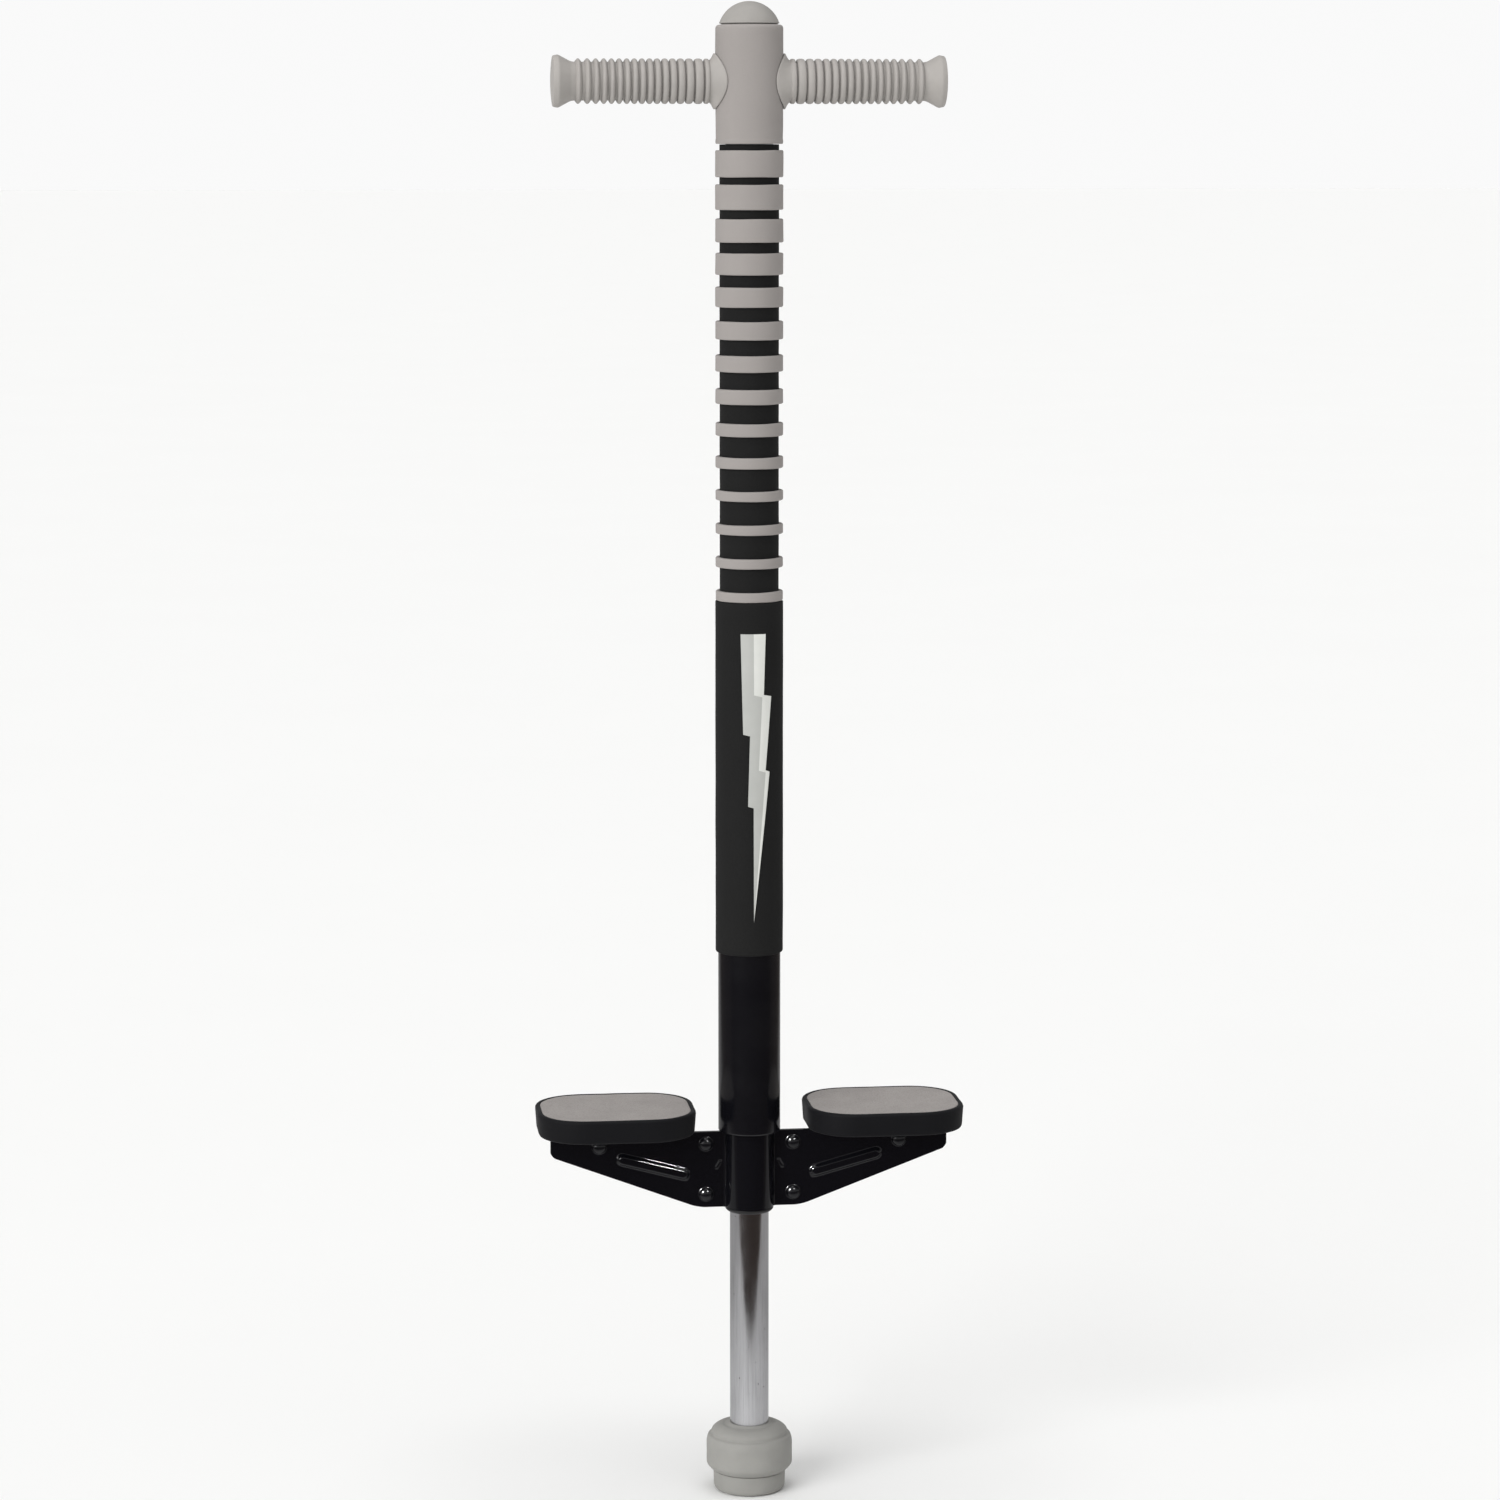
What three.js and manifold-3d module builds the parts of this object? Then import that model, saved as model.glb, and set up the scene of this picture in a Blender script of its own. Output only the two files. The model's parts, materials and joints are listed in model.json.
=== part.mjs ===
// A youth pogo stick: a T-handled steel frame with a foam sleeve, a pressed foot bracket,
// and a chrome piston that slides and turns in the spring housing on a coil spring.
// Millimetres, +Z up, +X to the right and -Y to the front. The origin is on the ground under the axis.

import * as THREE from 'three';
import { mergeVertices } from 'three/addons/utils/BufferGeometryUtils.js';
import Module from 'manifold-3d';

const wasm = await Module();
wasm.setup();

// ---- driving dimensions ----------------------------------------------------------------------

const GAP = 0.3; // clearance between neighbouring pieces
const ROUND = 24; // sides of the big round pieces
const BAR_ROUND = 14; // sides of the handlebar and grips
const PIN_ROUND = 10; // sides of the pin, the rivets and their holes

const HEIGHT = 914.4;
const HUB = { radius: 20.3, bottom: 830.3, top: 900.6, shoulder: 2.4, edge: 0.8 };
const CAP = { baseRadius: 18.1, spigotLength: 16, spigotWall: 2 };
const BAR = { z: 867.2, radius: 9.53, wall: 1.5, halfLength: 112 };
const GRIP = {
  end: 118.6, mouthRadius: 15.7, mouth: 116.2, flareStart: 105.5,
  ridgeRadius: 13.3, valleyRadius: 11.45, bandRadius: 13.3, bandInner: 24.0, bandOuter: 27.3,
  collarRadius: 15.9, collarOuter: 21.8, ribs: 16, firstRib: 30.7, lastRib: 102.4, ribGap: 1.1,
};
const RING = {
  count: 14, radius: 20.4, top: 826.6, pitch: 20.3, tallest: 16, shorter: 1.02, shortest: 6, edge: 0.9,
};
const SLEEVE = { radius: 20.6, bottom: 340.4, top: 556.4, grooveRadius: 17.85, edge: 1.5 };
const BOLT = { top: 538, length: 176, thickness: 0.35 };
const UPPER_TUBE = { radius: 14.3, wall: 1.5, bottom: 466.3, top: 896 };
const HOUSING = { radius: 19.05, wall: 1.5, top: 505, shoulder: 228.1, corner: 2, bottom: 180.6 };
const NECK = { radius: 13.4, bore: 12.3 };
const STOP = { floor: 460.6, cupDepth: 5.4, pinZ: 485, pinRadius: 2.8, pinHalfLength: 18.8 };
const SPRING = {
  bottom: 259.2, top: 458, outerRadius: 15, wire: 4, turns: 25, closedPitch: 4.2,
  stepsPerTurn: 8, wireSides: 5,
};
const SEAT = { radius: 16.6, thickness: 2, bossRadius: 9.4, bossHeight: 4 };
const PISTON = {
  radius: 12, wall: 1.5, bottom: 12.6, top: 254.3, headRadius: 17, headBottom: 251.6, headTop: 256.6,
};
const BUSHING = { bottom: 229.9, top: 246, edge: 0.8 };
const BUMPER = { top: 251.3, bore: 12.5, radius: 16.8 };
const WIPER = { bottom: 177.6, top: 180, radius: 14.9, edge: 1.7 };
const FOOT = {
  top: 41.5, flatRadius: 15.5, radius: 26.6, shoulder: 29.5, wallBottom: 16.2, step: 13, stepRadius: 23.6,
  soleRadius: 22.2, soleEdge: 3.5, floor: 10,
};
const PLATE = {
  thickness: 1.3, top: 227.8, bottom: 180.3, flatHalf: 32, cornerX: 122.9, cornerZ: 214.4,
  flangeTop: 233.7, flangeInner: 39, saddleRadius: 14.95, corner: 3,
};
const RIB = { inner: 37.5, outer: 82, innerZ: 200.5, outerZ: 212.5, width: 7, height: 1.5, bevel: 0.8, sunk: 0.3 };
const RIVET = {
  headRadius: 5, headHeight: 2.6, shankRadius: 2.5, places: [[27, 220.2], [27, 188.5], [93, 220]],
};
const PEDAL = {
  centre: 82.9, length: 97.2, width: 79, corner: 29, bottom: 230.3, top: 244.7, edge: 1.2,
  rim: 3.4, recess: 1.5, skirt: 4, pocketTop: 234,
};

// ---- helpers ---------------------------------------------------------------------------------

/** A closed solid for cutting and joining, made from a closed three.js geometry. */
function solid(geometry) {
  const bare = geometry.clone();
  bare.deleteAttribute('normal');
  bare.deleteAttribute('uv');
  const merged = mergeVertices(bare, 1e-4);
  const corners = [];
  const index = merged.index.array;
  for (let i = 0; i < index.length; i += 3) {
    const [a, b, c] = index.slice(i, i + 3);
    if (a !== b && b !== c && c !== a) corners.push(a, b, c);
  }
  return new wasm.Manifold(new wasm.Mesh({
    numProp: 3,
    vertProperties: new Float32Array(merged.attributes.position.array),
    triVerts: new Uint32Array(corners),
  }));
}

/** The three.js geometry of a solid. */
function geometryOf(body) {
  const mesh = body.getMesh();
  const geometry = new THREE.BufferGeometry();
  geometry.setAttribute('position', new THREE.BufferAttribute(mesh.vertProperties, 3));
  geometry.setIndex(new THREE.BufferAttribute(mesh.triVerts, 1));
  geometry.computeVertexNormals();
  return geometry;
}

/** Turns a profile of [radius, height] points, run anticlockwise, about the Z axis. */
function turned(profile, sides = ROUND) {
  const points = profile.map(([radius, height]) => new THREE.Vector2(radius, height));
  return new THREE.LatheGeometry(points, sides).rotateX(Math.PI / 2);
}

/** A tube's wall, or any ring of rectangular section, about the Z axis. */
function tube(outer, inner, bottom, top, sides = ROUND) {
  return turned([[inner, bottom], [outer, bottom], [outer, top], [inner, top], [inner, bottom]], sides);
}

/** A solid round bar about the Z axis. */
function bar(radius, bottom, top, sides = ROUND) {
  return turned([[0, bottom], [radius, bottom], [radius, top], [0, top]], sides);
}

/** Points along a quarter of an ellipse about (r, z), from angle a to angle b in degrees. */
function arc(r, z, radiusR, radiusZ, a, b, steps) {
  return Array.from({ length: steps + 1 }, (_, i) => {
    const angle = THREE.MathUtils.degToRad(a + ((b - a) * i) / steps);
    return [r + radiusR * Math.cos(angle), z + radiusZ * Math.sin(angle)];
  });
}

/** A closed outline whose corners, given as [x, y, rounding], are rounded off. */
function roundedOutline(corners) {
  const shape = new THREE.Shape();
  const at = (i) => new THREE.Vector2(...corners[(i + corners.length) % corners.length]);
  corners.forEach(([, , rounding = 0], i) => {
    const corner = at(i);
    const before = corner.clone().add(at(i - 1).sub(corner).setLength(rounding));
    const after = corner.clone().add(at(i + 1).sub(corner).setLength(rounding));
    if (i === 0) shape.moveTo(before.x, before.y);
    else shape.lineTo(before.x, before.y);
    if (rounding) shape.quadraticCurveTo(corner.x, corner.y, after.x, after.y);
  });
  shape.closePath();
  return shape;
}

/** A rectangle with round corners, centred on the origin. */
function roundedRectangle(length, width, radius) {
  const x = length / 2 - radius;
  const y = width / 2 - radius;
  const shape = new THREE.Shape();
  shape.absarc(x, y, radius, 0, Math.PI / 2);
  shape.absarc(-x, y, radius, Math.PI / 2, Math.PI);
  shape.absarc(-x, -y, radius, Math.PI, 1.5 * Math.PI);
  shape.absarc(x, -y, radius, 1.5 * Math.PI, 2 * Math.PI);
  return shape;
}

/** An outline in X and Y raised from one height to another. */
function raised(shape, bottom, top, curveSegments) {
  const options = { depth: top - bottom, bevelEnabled: false, curveSegments };
  return new THREE.ExtrudeGeometry(shape, options).translate(0, 0, bottom);
}

/** An outline in X and Y raised from z = 0 to a thickness, with both its edges bevelled. */
function bevelled(shape, thickness, bevel, bevelSegments, curveSegments) {
  return new THREE.ExtrudeGeometry(shape, {
    depth: thickness - 2 * bevel,
    bevelThickness: bevel,
    bevelSize: bevel,
    bevelOffset: -bevel,
    bevelSegments,
    curveSegments,
  }).translate(0, 0, bevel);
}

/** An outline in X and Z given a thickness from y = near to y = far, where far is behind near. */
function upright(shape, near, far) {
  const flat = new THREE.ExtrudeGeometry(shape, { depth: far - near, bevelEnabled: false, curveSegments: 3 });
  return flat.rotateX(Math.PI / 2).translate(0, far, 0);
}

/** A round bar along X or Y through height z. */
function crossBar(radius, halfLength, z, axis, sides = BAR_ROUND) {
  const across = bar(radius, -halfLength, halfLength, sides);
  if (axis === 'x') across.rotateY(Math.PI / 2);
  else across.rotateX(Math.PI / 2);
  return across.translate(0, 0, z);
}

const LOOKS = {
  greyFoam: { color: 0xa8a39f, roughness: 0.8, metalness: 0 },
  greyRubber: { color: 0xa3a29d, roughness: 0.7, metalness: 0 },
  blackFoam: { color: 0x2b2b2b, roughness: 0.85, metalness: 0 },
  blackEnamel: { color: 0x101013, roughness: 0.3, metalness: 0.1 },
  blackRubber: { color: 0x1e1e21, roughness: 0.7, metalness: 0 },
  greyTread: { color: 0x999491, roughness: 0.85, metalness: 0 },
  silverPrint: { color: 0xd0d1cc, roughness: 0.4, metalness: 0.2 },
  chrome: { color: 0xd5d5d6, roughness: 0.12, metalness: 1 },
  steel: { color: 0x8d8f92, roughness: 0.4, metalness: 1 },
  nylon: { color: 0x18181a, roughness: 0.5, metalness: 0 },
};

/** A named sub-part with a material of its own. */
function piece(name, geometry, look) {
  const mesh = new THREE.Mesh(geometry, new THREE.MeshStandardMaterial(LOOKS[look]));
  mesh.name = name;
  return mesh;
}

// ---- handle ----------------------------------------------------------------------------------

function handleHub() {
  const bore = UPPER_TUBE.radius + GAP;
  const body = turned([
    [bore, HUB.bottom], [HUB.radius - HUB.edge, HUB.bottom], [HUB.radius, HUB.bottom + HUB.edge],
    ...arc(HUB.radius - HUB.shoulder, HUB.top - HUB.shoulder, HUB.shoulder, HUB.shoulder, 0, 90, 3),
    [bore, HUB.top], [bore, HUB.bottom],
  ]);
  return geometryOf(solid(body).subtract(solid(crossBar(BAR.radius + GAP, HUB.radius + 5, BAR.z, 'x'))));
}

/** A ball-shaped cap whose hollow spigot plugs the top of the tube. */
function topCap() {
  const seam = HUB.top + GAP;
  const rise = HEIGHT - seam;
  const ball = (CAP.baseRadius ** 2 + rise ** 2) / (2 * rise);
  const edge = THREE.MathUtils.radToDeg(Math.asin((ball - rise) / ball));
  const spigot = UPPER_TUBE.radius - UPPER_TUBE.wall - GAP;
  const bottom = seam - CAP.spigotLength;
  const inner = spigot - CAP.spigotWall;
  return turned([
    [0, seam - CAP.spigotWall], [inner, seam - CAP.spigotWall], [inner, bottom], [spigot, bottom],
    [spigot, seam],
    ...arc(0, HEIGHT - ball, ball, ball, edge, 90, 6).slice(0, -1),
    [0, HEIGHT],
  ]);
}

/** Rib centres along a grip: the pitch is even in the middle and widens towards both ends. */
function ribCentres() {
  const spaces = GRIP.ribs - 1;
  const weights = Array.from({ length: spaces }, (_, i) => 4.45 + (2 * i / (spaces - 1) - 1) ** 4);
  const scale = (GRIP.lastRib - GRIP.firstRib) / weights.reduce((sum, weight) => sum + weight);
  const centres = [GRIP.firstRib];
  weights.forEach((weight, i) => centres.push(centres[i] + weight * scale));
  return centres;
}

/** A moulded grip along Z, from the saddle on the hub to the closed, flared end. */
function grip() {
  const bore = BAR.radius + GAP;
  const centres = ribCentres();
  const ribs = centres.flatMap((centre, i) => {
    const pitch = (centres[i + 1] ?? centre + (centre - centres[i - 1])) - centre;
    const half = (pitch - GRIP.ribGap) / 2;
    return [
      [GRIP.ridgeRadius, centre - half], [GRIP.ridgeRadius, centre + half],
      [GRIP.valleyRadius, centre + pitch / 2],
    ];
  });
  const body = turned([
    [0, BAR.halfLength + GAP], [bore, BAR.halfLength + GAP], [bore, 0],
    [GRIP.collarRadius, 0], [GRIP.collarRadius, GRIP.collarOuter], [GRIP.bandRadius, GRIP.bandInner],
    [GRIP.bandRadius, GRIP.bandOuter], [GRIP.valleyRadius, GRIP.bandOuter + GRIP.ribGap / 2],
    ...ribs,
    [GRIP.valleyRadius, GRIP.flareStart], [GRIP.mouthRadius, GRIP.mouth], [GRIP.mouthRadius, GRIP.mouth + 1],
    [0, GRIP.end],
  ], BAR_ROUND);
  const hub = bar(HUB.radius + GAP, -40, 40).rotateY(Math.PI / 2);
  return geometryOf(solid(body).subtract(solid(hub)));
}

function handle() {
  const group = new THREE.Group();
  const barTube = tube(BAR.radius, BAR.radius - BAR.wall, -BAR.halfLength, BAR.halfLength, BAR_ROUND);
  const crossTube = piece('handlebar_tube', barTube, 'blackEnamel');
  crossTube.rotation.y = Math.PI / 2;
  crossTube.position.z = BAR.z;
  group.add(crossTube, piece('handle_hub', handleHub(), 'greyFoam'), piece('top_cap', topCap(), 'greyRubber'));
  const gripGeometry = grip();
  for (const [side, turn] of [['right', Math.PI / 2], ['left', -Math.PI / 2]]) {
    const mesh = piece(`grip_${side}`, gripGeometry.clone(), 'greyRubber');
    mesh.rotation.y = turn;
    mesh.position.z = BAR.z;
    group.add(mesh);
  }
  return group;
}

// ---- column: tubes, foam, rings and the graphic ------------------------------------------------

/** The hole for the pin that holds the two tubes and the reducer together. */
function pinHole() {
  return solid(crossBar(STOP.pinRadius + GAP, HUB.radius, STOP.pinZ, 'y', PIN_ROUND));
}

function upperTube() {
  const { radius, wall: thickness, bottom, top } = UPPER_TUBE;
  const wall = tube(radius, radius - thickness, bottom, top);
  return geometryOf(solid(wall)
    .subtract(solid(crossBar(BAR.radius + GAP, HUB.radius, BAR.z, 'x')))
    .subtract(pinHole()));
}

/** The main tube: a square shoulder at its lower end closes in to the neck that guides the piston. */
function springHousing() {
  const { radius, wall, top, shoulder, corner, bottom } = HOUSING;
  const inner = radius - wall;
  const body = turned([
    [NECK.bore, bottom], [NECK.radius, bottom], [NECK.radius, shoulder],
    ...arc(radius - corner, shoulder + corner, corner, corner, -90, 0, 4),
    [radius, top], [inner, top],
    ...arc(radius - corner, shoulder + corner, corner - wall, corner - wall, 0, -90, 2),
    [NECK.bore, shoulder + wall], [NECK.bore, bottom],
  ]);
  return geometryOf(solid(body).subtract(pinHole()));
}

/** A cup that centres the upper tube in the housing and takes the spring's push on its floor. */
function tubeReducer() {
  const outer = HOUSING.radius - HOUSING.wall - GAP;
  const bore = UPPER_TUBE.radius + GAP;
  const seat = STOP.floor + STOP.cupDepth;
  const body = turned([
    [0, STOP.floor], [outer, STOP.floor], [outer, HOUSING.top], [bore, HOUSING.top], [bore, seat], [0, seat],
  ]);
  return geometryOf(solid(body).subtract(pinHole()));
}

/** The foam runs thick and plain below and thinner between the rings above. */
function foamSleeve() {
  const wide = HOUSING.radius + GAP;
  const bore = UPPER_TUBE.radius + GAP;
  const top = HUB.bottom - GAP;
  return turned([
    [wide, SLEEVE.bottom], [SLEEVE.radius - SLEEVE.edge / 2, SLEEVE.bottom],
    [SLEEVE.radius, SLEEVE.bottom + SLEEVE.edge], [SLEEVE.radius, SLEEVE.top],
    [SLEEVE.grooveRadius, SLEEVE.top], [SLEEVE.grooveRadius, top], [bore, top],
    [bore, HOUSING.top + GAP], [wide, HOUSING.top + GAP], [wide, SLEEVE.bottom],
  ]);
}

function ringHeight(i) {
  return Math.max(RING.shortest, RING.tallest - RING.shorter * i);
}

/** A foam ring that hangs down from z = 0. */
function ring(height) {
  const bore = SLEEVE.grooveRadius + GAP;
  return turned([
    [bore, -height], [RING.radius - RING.edge, -height], [RING.radius, RING.edge - height],
    [RING.radius, -RING.edge], [RING.radius - RING.edge, 0], [bore, 0], [bore, -height],
  ]);
}

/** A generic three-step lightning bolt in a thin skin, wrapped on the front of the sleeve. */
function boltGraphic() {
  const steps = [
    [-7.8, 0], [-6.2, -61], [-2.0, -62], [-3.2, -105], [0.2, -106], [0.4, -BOLT.length],
    [10.6, -84], [7.8, -83], [11.8, -38], [6.6, -37], [7.8, 0],
  ];
  const outline = new THREE.Shape(steps.map(([x, z]) => new THREE.Vector2(x, z)));
  const inside = SLEEVE.radius + GAP;
  const skin = tube(inside + BOLT.thickness, inside, -BOLT.length - 5, 5, 2 * ROUND);
  return geometryOf(solid(skin).intersect(solid(upright(outline, -40, 0))));
}

function column() {
  const group = new THREE.Group();
  const pin = crossBar(STOP.pinRadius, STOP.pinHalfLength, STOP.pinZ, 'y', PIN_ROUND);
  group.add(
    piece('upper_tube', upperTube(), 'steel'),
    piece('spring_housing', springHousing(), 'blackEnamel'),
    piece('tube_reducer', tubeReducer(), 'steel'),
    piece('foam_sleeve', foamSleeve(), 'blackFoam'),
    piece('spring_stop_pin', pin, 'steel'),
  );
  for (let i = 0; i < RING.count; i += 1) {
    const mesh = piece(`ring_${String(i + 1).padStart(2, '0')}`, ring(ringHeight(i)), 'greyFoam');
    mesh.position.z = RING.top - i * RING.pitch;
    group.add(mesh);
  }
  const bolt = piece('bolt_graphic', boltGraphic(), 'silverPrint');
  bolt.position.z = BOLT.top;
  group.add(bolt);
  return group;
}

// ---- foot bracket and pedals -----------------------------------------------------------------

/** The bracket plate seen from the front: a flat V with a raised platform edge on each side. */
function plateOutline() {
  const { corner, flatHalf, bottom, cornerX, cornerZ, flangeTop, flangeInner, top } = PLATE;
  const right = [
    [flatHalf, bottom, 6], [cornerX, cornerZ, corner], [cornerX, flangeTop, 0], [flangeInner, flangeTop, 0],
    [flangeInner, top, 0],
  ];
  const left = right.map(([x, z, rounding]) => [-x, z, rounding]).reverse();
  return roundedOutline([...right, ...left]);
}

/** The platform that a plate's top edge is bent out into, one half of a pedal's footprint. */
function flange(side) {
  const inset = PEDAL.skirt + GAP;
  const whole = roundedRectangle(PEDAL.length - 2 * inset, PEDAL.width - 2 * inset, PEDAL.corner - inset);
  const slab = solid(raised(whole, PLATE.flangeTop - PLATE.thickness, PLATE.flangeTop, 5));
  const front = new THREE.BoxGeometry(PEDAL.length, PEDAL.width, 10);
  front.translate(0, -(PEDAL.width + GAP) / 2, PLATE.flangeTop);
  return slab.intersect(solid(front)).translate([side * PEDAL.centre, 0, 0]);
}

/** The stiffening rib pressed out of each wing of the plate. */
function pressedRib(side) {
  const run = RIB.outer - RIB.inner;
  const rise = RIB.outerZ - RIB.innerZ;
  const shape = roundedRectangle(Math.hypot(run, rise), RIB.width, RIB.width / 2 - 0.1);
  const rib = bevelled(shape, RIB.sunk + RIB.bevel + RIB.height, RIB.bevel, 1, 4);
  rib.rotateX(Math.PI / 2).rotateY(-side * Math.atan2(rise, run));
  const back = -GAP / 2 - PLATE.thickness + RIB.sunk + RIB.bevel;
  return solid(rib.translate(side * (RIB.inner + run / 2), back, RIB.innerZ + rise / 2));
}

/** The front half of the bracket. The rear half is the same pressing, turned round. */
function bracketPlate() {
  const face = -GAP / 2;
  let body = solid(upright(plateOutline(), face - PLATE.thickness, face));
  const saddle = solid(bar(PLATE.saddleRadius, PLATE.bottom, PLATE.top));
  const front = solid(new THREE.BoxGeometry(60, 40, 100).translate(0, -20 + face, PLATE.top - 30));
  body = body.add(saddle.intersect(front));
  for (const side of [-1, 1]) body = body.add(flange(side)).add(pressedRib(side));
  body = body.subtract(solid(bar(NECK.radius + 0.25, PLATE.bottom - 10, PLATE.flangeTop + 10)));
  for (const side of [-1, 1]) {
    for (const [x, z] of RIVET.places) {
      const hole = crossBar(RIVET.shankRadius + GAP, 5, z, 'y', PIN_ROUND).translate(side * x, 0, 0);
      body = body.subtract(solid(hole));
    }
  }
  return geometryOf(body);
}

/** A rivet along Z with a domed head at each end, closed over both plates. */
function rivet() {
  const grip = PLATE.thickness + GAP / 2 + GAP;
  const { headRadius, headHeight, shankRadius } = RIVET;
  return turned([
    [0, -grip - headHeight], ...arc(0, -grip, headRadius, headHeight, -90, 0, 3).slice(1),
    [shankRadius, -grip], [shankRadius, grip],
    ...arc(0, grip, headRadius, headHeight, 0, 90, 3).slice(0, -1), [0, grip + headHeight],
  ], PIN_ROUND);
}

/** The pedal's rubber boot: open below for the platforms, with a shallow recess on top for the tread. */
function pedalRubber() {
  const { length, width, corner, edge, rim, recess, skirt, bottom, top } = PEDAL;
  const inset = (by) => roundedRectangle(length - 2 * by, width - 2 * by, corner - by);
  const boot = bevelled(inset(0), top - bottom, edge, 1, 7).translate(0, 0, bottom);
  const pocket = raised(inset(skirt), bottom - 5, PEDAL.pocketTop, 5);
  const dish = raised(inset(rim), top - recess, top + 5, 7);
  return geometryOf(solid(boot).subtract(solid(pocket)).subtract(solid(dish)));
}

/** The grey tread that fills the recess of a pedal. */
function pedalTread() {
  const inset = PEDAL.rim + GAP;
  const outline = roundedRectangle(PEDAL.length - 2 * inset, PEDAL.width - 2 * inset, PEDAL.corner - inset);
  return raised(outline, PEDAL.top - PEDAL.recess + GAP, PEDAL.top - 0.1, 7);
}

function footBracket() {
  const group = new THREE.Group();
  const plate = bracketPlate();
  const rear = piece('bracket_rear', plate.clone(), 'blackEnamel');
  rear.rotation.z = Math.PI;
  group.add(piece('bracket_front', plate, 'blackEnamel'), rear);
  for (const [name, side] of [['left', -1], ['right', 1]]) {
    RIVET.places.forEach(([x, z], i) => {
      const mesh = piece(`rivet_${name}_${i + 1}`, rivet(), 'blackEnamel');
      mesh.rotation.x = Math.PI / 2;
      mesh.position.set(side * x, 0, z);
      group.add(mesh);
    });
    const rubber = piece(`pedal_rubber_${name}`, pedalRubber(), 'blackRubber');
    const tread = piece(`pedal_tread_${name}`, pedalTread(), 'greyTread');
    rubber.position.x = side * PEDAL.centre;
    tread.position.x = side * PEDAL.centre;
    group.add(rubber, tread);
  }
  return group;
}

// ---- spring and piston -----------------------------------------------------------------------

/** The coil's centreline: the first and last turns lie close, and the turns between are open. */
class Coil extends THREE.Curve {
  getPoint(t) {
    const { turns, closedPitch, wire, outerRadius } = SPRING;
    const low = SPRING.bottom + wire / 2;
    const high = SPRING.top - wire / 2;
    const openPitch = (high - low - 2 * closedPitch) / (turns - 2);
    const turn = turns * t;
    let z = low + closedPitch + (turn - 1) * openPitch;
    if (turn < 1) z = low + turn * closedPitch;
    if (turn > turns - 1) z = high - (turns - turn) * closedPitch;
    const radius = outerRadius - wire / 2;
    const angle = 2 * Math.PI * turn;
    return new THREE.Vector3(radius * Math.cos(angle), radius * Math.sin(angle), z);
  }
}

function mainSpring() {
  const section = new THREE.Shape();
  for (let i = 0; i < SPRING.wireSides; i += 1) {
    const angle = (2 * Math.PI * i) / SPRING.wireSides;
    const point = [SPRING.wire / 2 * Math.cos(angle), SPRING.wire / 2 * Math.sin(angle)];
    if (i === 0) section.moveTo(...point);
    else section.lineTo(...point);
  }
  section.closePath();
  const steps = SPRING.turns * SPRING.stepsPerTurn;
  const options = { steps, extrudePath: new Coil(), bevelEnabled: false, curveSegments: 1 };
  return new THREE.ExtrudeGeometry(section, options);
}

/** A washer with a centring boss for one end of the spring; the boss points up. */
function springSeat() {
  const { radius, thickness, bossRadius, bossHeight } = SEAT;
  return turned([
    [0, 0], [radius, 0], [radius, thickness], [bossRadius, thickness], [bossRadius, thickness + bossHeight],
    [0, thickness + bossHeight],
  ]);
}

function guideBushing() {
  const outer = HOUSING.radius - HOUSING.wall - GAP;
  const { bottom, top, edge } = BUSHING;
  return turned([
    [NECK.bore, bottom], [outer - edge, bottom], [outer, bottom + edge], [outer, top], [NECK.bore, top],
    [NECK.bore, bottom],
  ]);
}

function wiperRing() {
  const { bottom, top, radius, edge } = WIPER;
  return turned([
    [NECK.bore, bottom], [radius - edge, bottom], [radius, bottom + edge], [radius, top],
    [NECK.bore, top], [NECK.bore, bottom],
  ]);
}

function pistonHead() {
  const bore = PISTON.radius + GAP;
  const { headRadius, headBottom, headTop, top } = PISTON;
  return turned([
    [0, top + GAP], [bore, top + GAP], [bore, headBottom], [headRadius, headBottom], [headRadius, headTop],
    [0, headTop],
  ]);
}

/** The rubber foot: a domed body over a narrower sole, with a blind bore for the piston. */
function rubberFoot() {
  const bore = PISTON.radius + GAP;
  const { top, flatRadius, radius, shoulder, wallBottom, step, stepRadius, floor } = FOOT;
  const { soleRadius, soleEdge } = FOOT;
  return turned([
    [0, 0], ...arc(soleRadius - soleEdge, soleEdge, soleEdge, soleEdge, -90, 0, 3), [soleRadius, step],
    [stepRadius, step], [radius, wallBottom],
    ...arc(flatRadius, shoulder, radius - flatRadius, top - shoulder, 0, 90, 5),
    [bore, top], [bore, floor], [0, floor],
  ]);
}

function springAndPiston() {
  const group = new THREE.Group();
  const lowerSeat = piece('spring_seat', springSeat(), 'steel');
  lowerSeat.position.z = SPRING.bottom - GAP - SEAT.thickness;
  const upperSeat = piece('spring_top_washer', springSeat(), 'steel');
  upperSeat.position.z = SPRING.top + GAP + SEAT.thickness;
  upperSeat.rotation.x = Math.PI;
  const shaft = tube(PISTON.radius, PISTON.radius - PISTON.wall, PISTON.bottom, PISTON.top);
  const washer = bar(PISTON.radius, FOOT.floor + GAP, PISTON.bottom - GAP);
  group.add(
    piece('main_spring', mainSpring(), 'steel'),
    lowerSeat,
    upperSeat,
    piece('guide_bushing', guideBushing(), 'nylon'),
    piece('rebound_bumper', tube(BUMPER.radius, BUMPER.bore, BUSHING.top + GAP, BUMPER.top), 'blackRubber'),
    piece('wiper_ring', wiperRing(), 'nylon'),
    piece('piston_tube', shaft, 'chrome'),
    piece('piston_head', pistonHead(), 'steel'),
    piece('rubber_foot', rubberFoot(), 'greyRubber'),
    piece('foot_washer', washer, 'steel'),
  );
  return group;
}

const pogoStick = new THREE.Group();
pogoStick.add(handle(), column(), footBracket(), springAndPiston());

export default pogoStick;
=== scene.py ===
"""A youth pogo stick's looks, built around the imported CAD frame.

The frame is in metres, and shapes are written in millimetres.
"""

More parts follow.
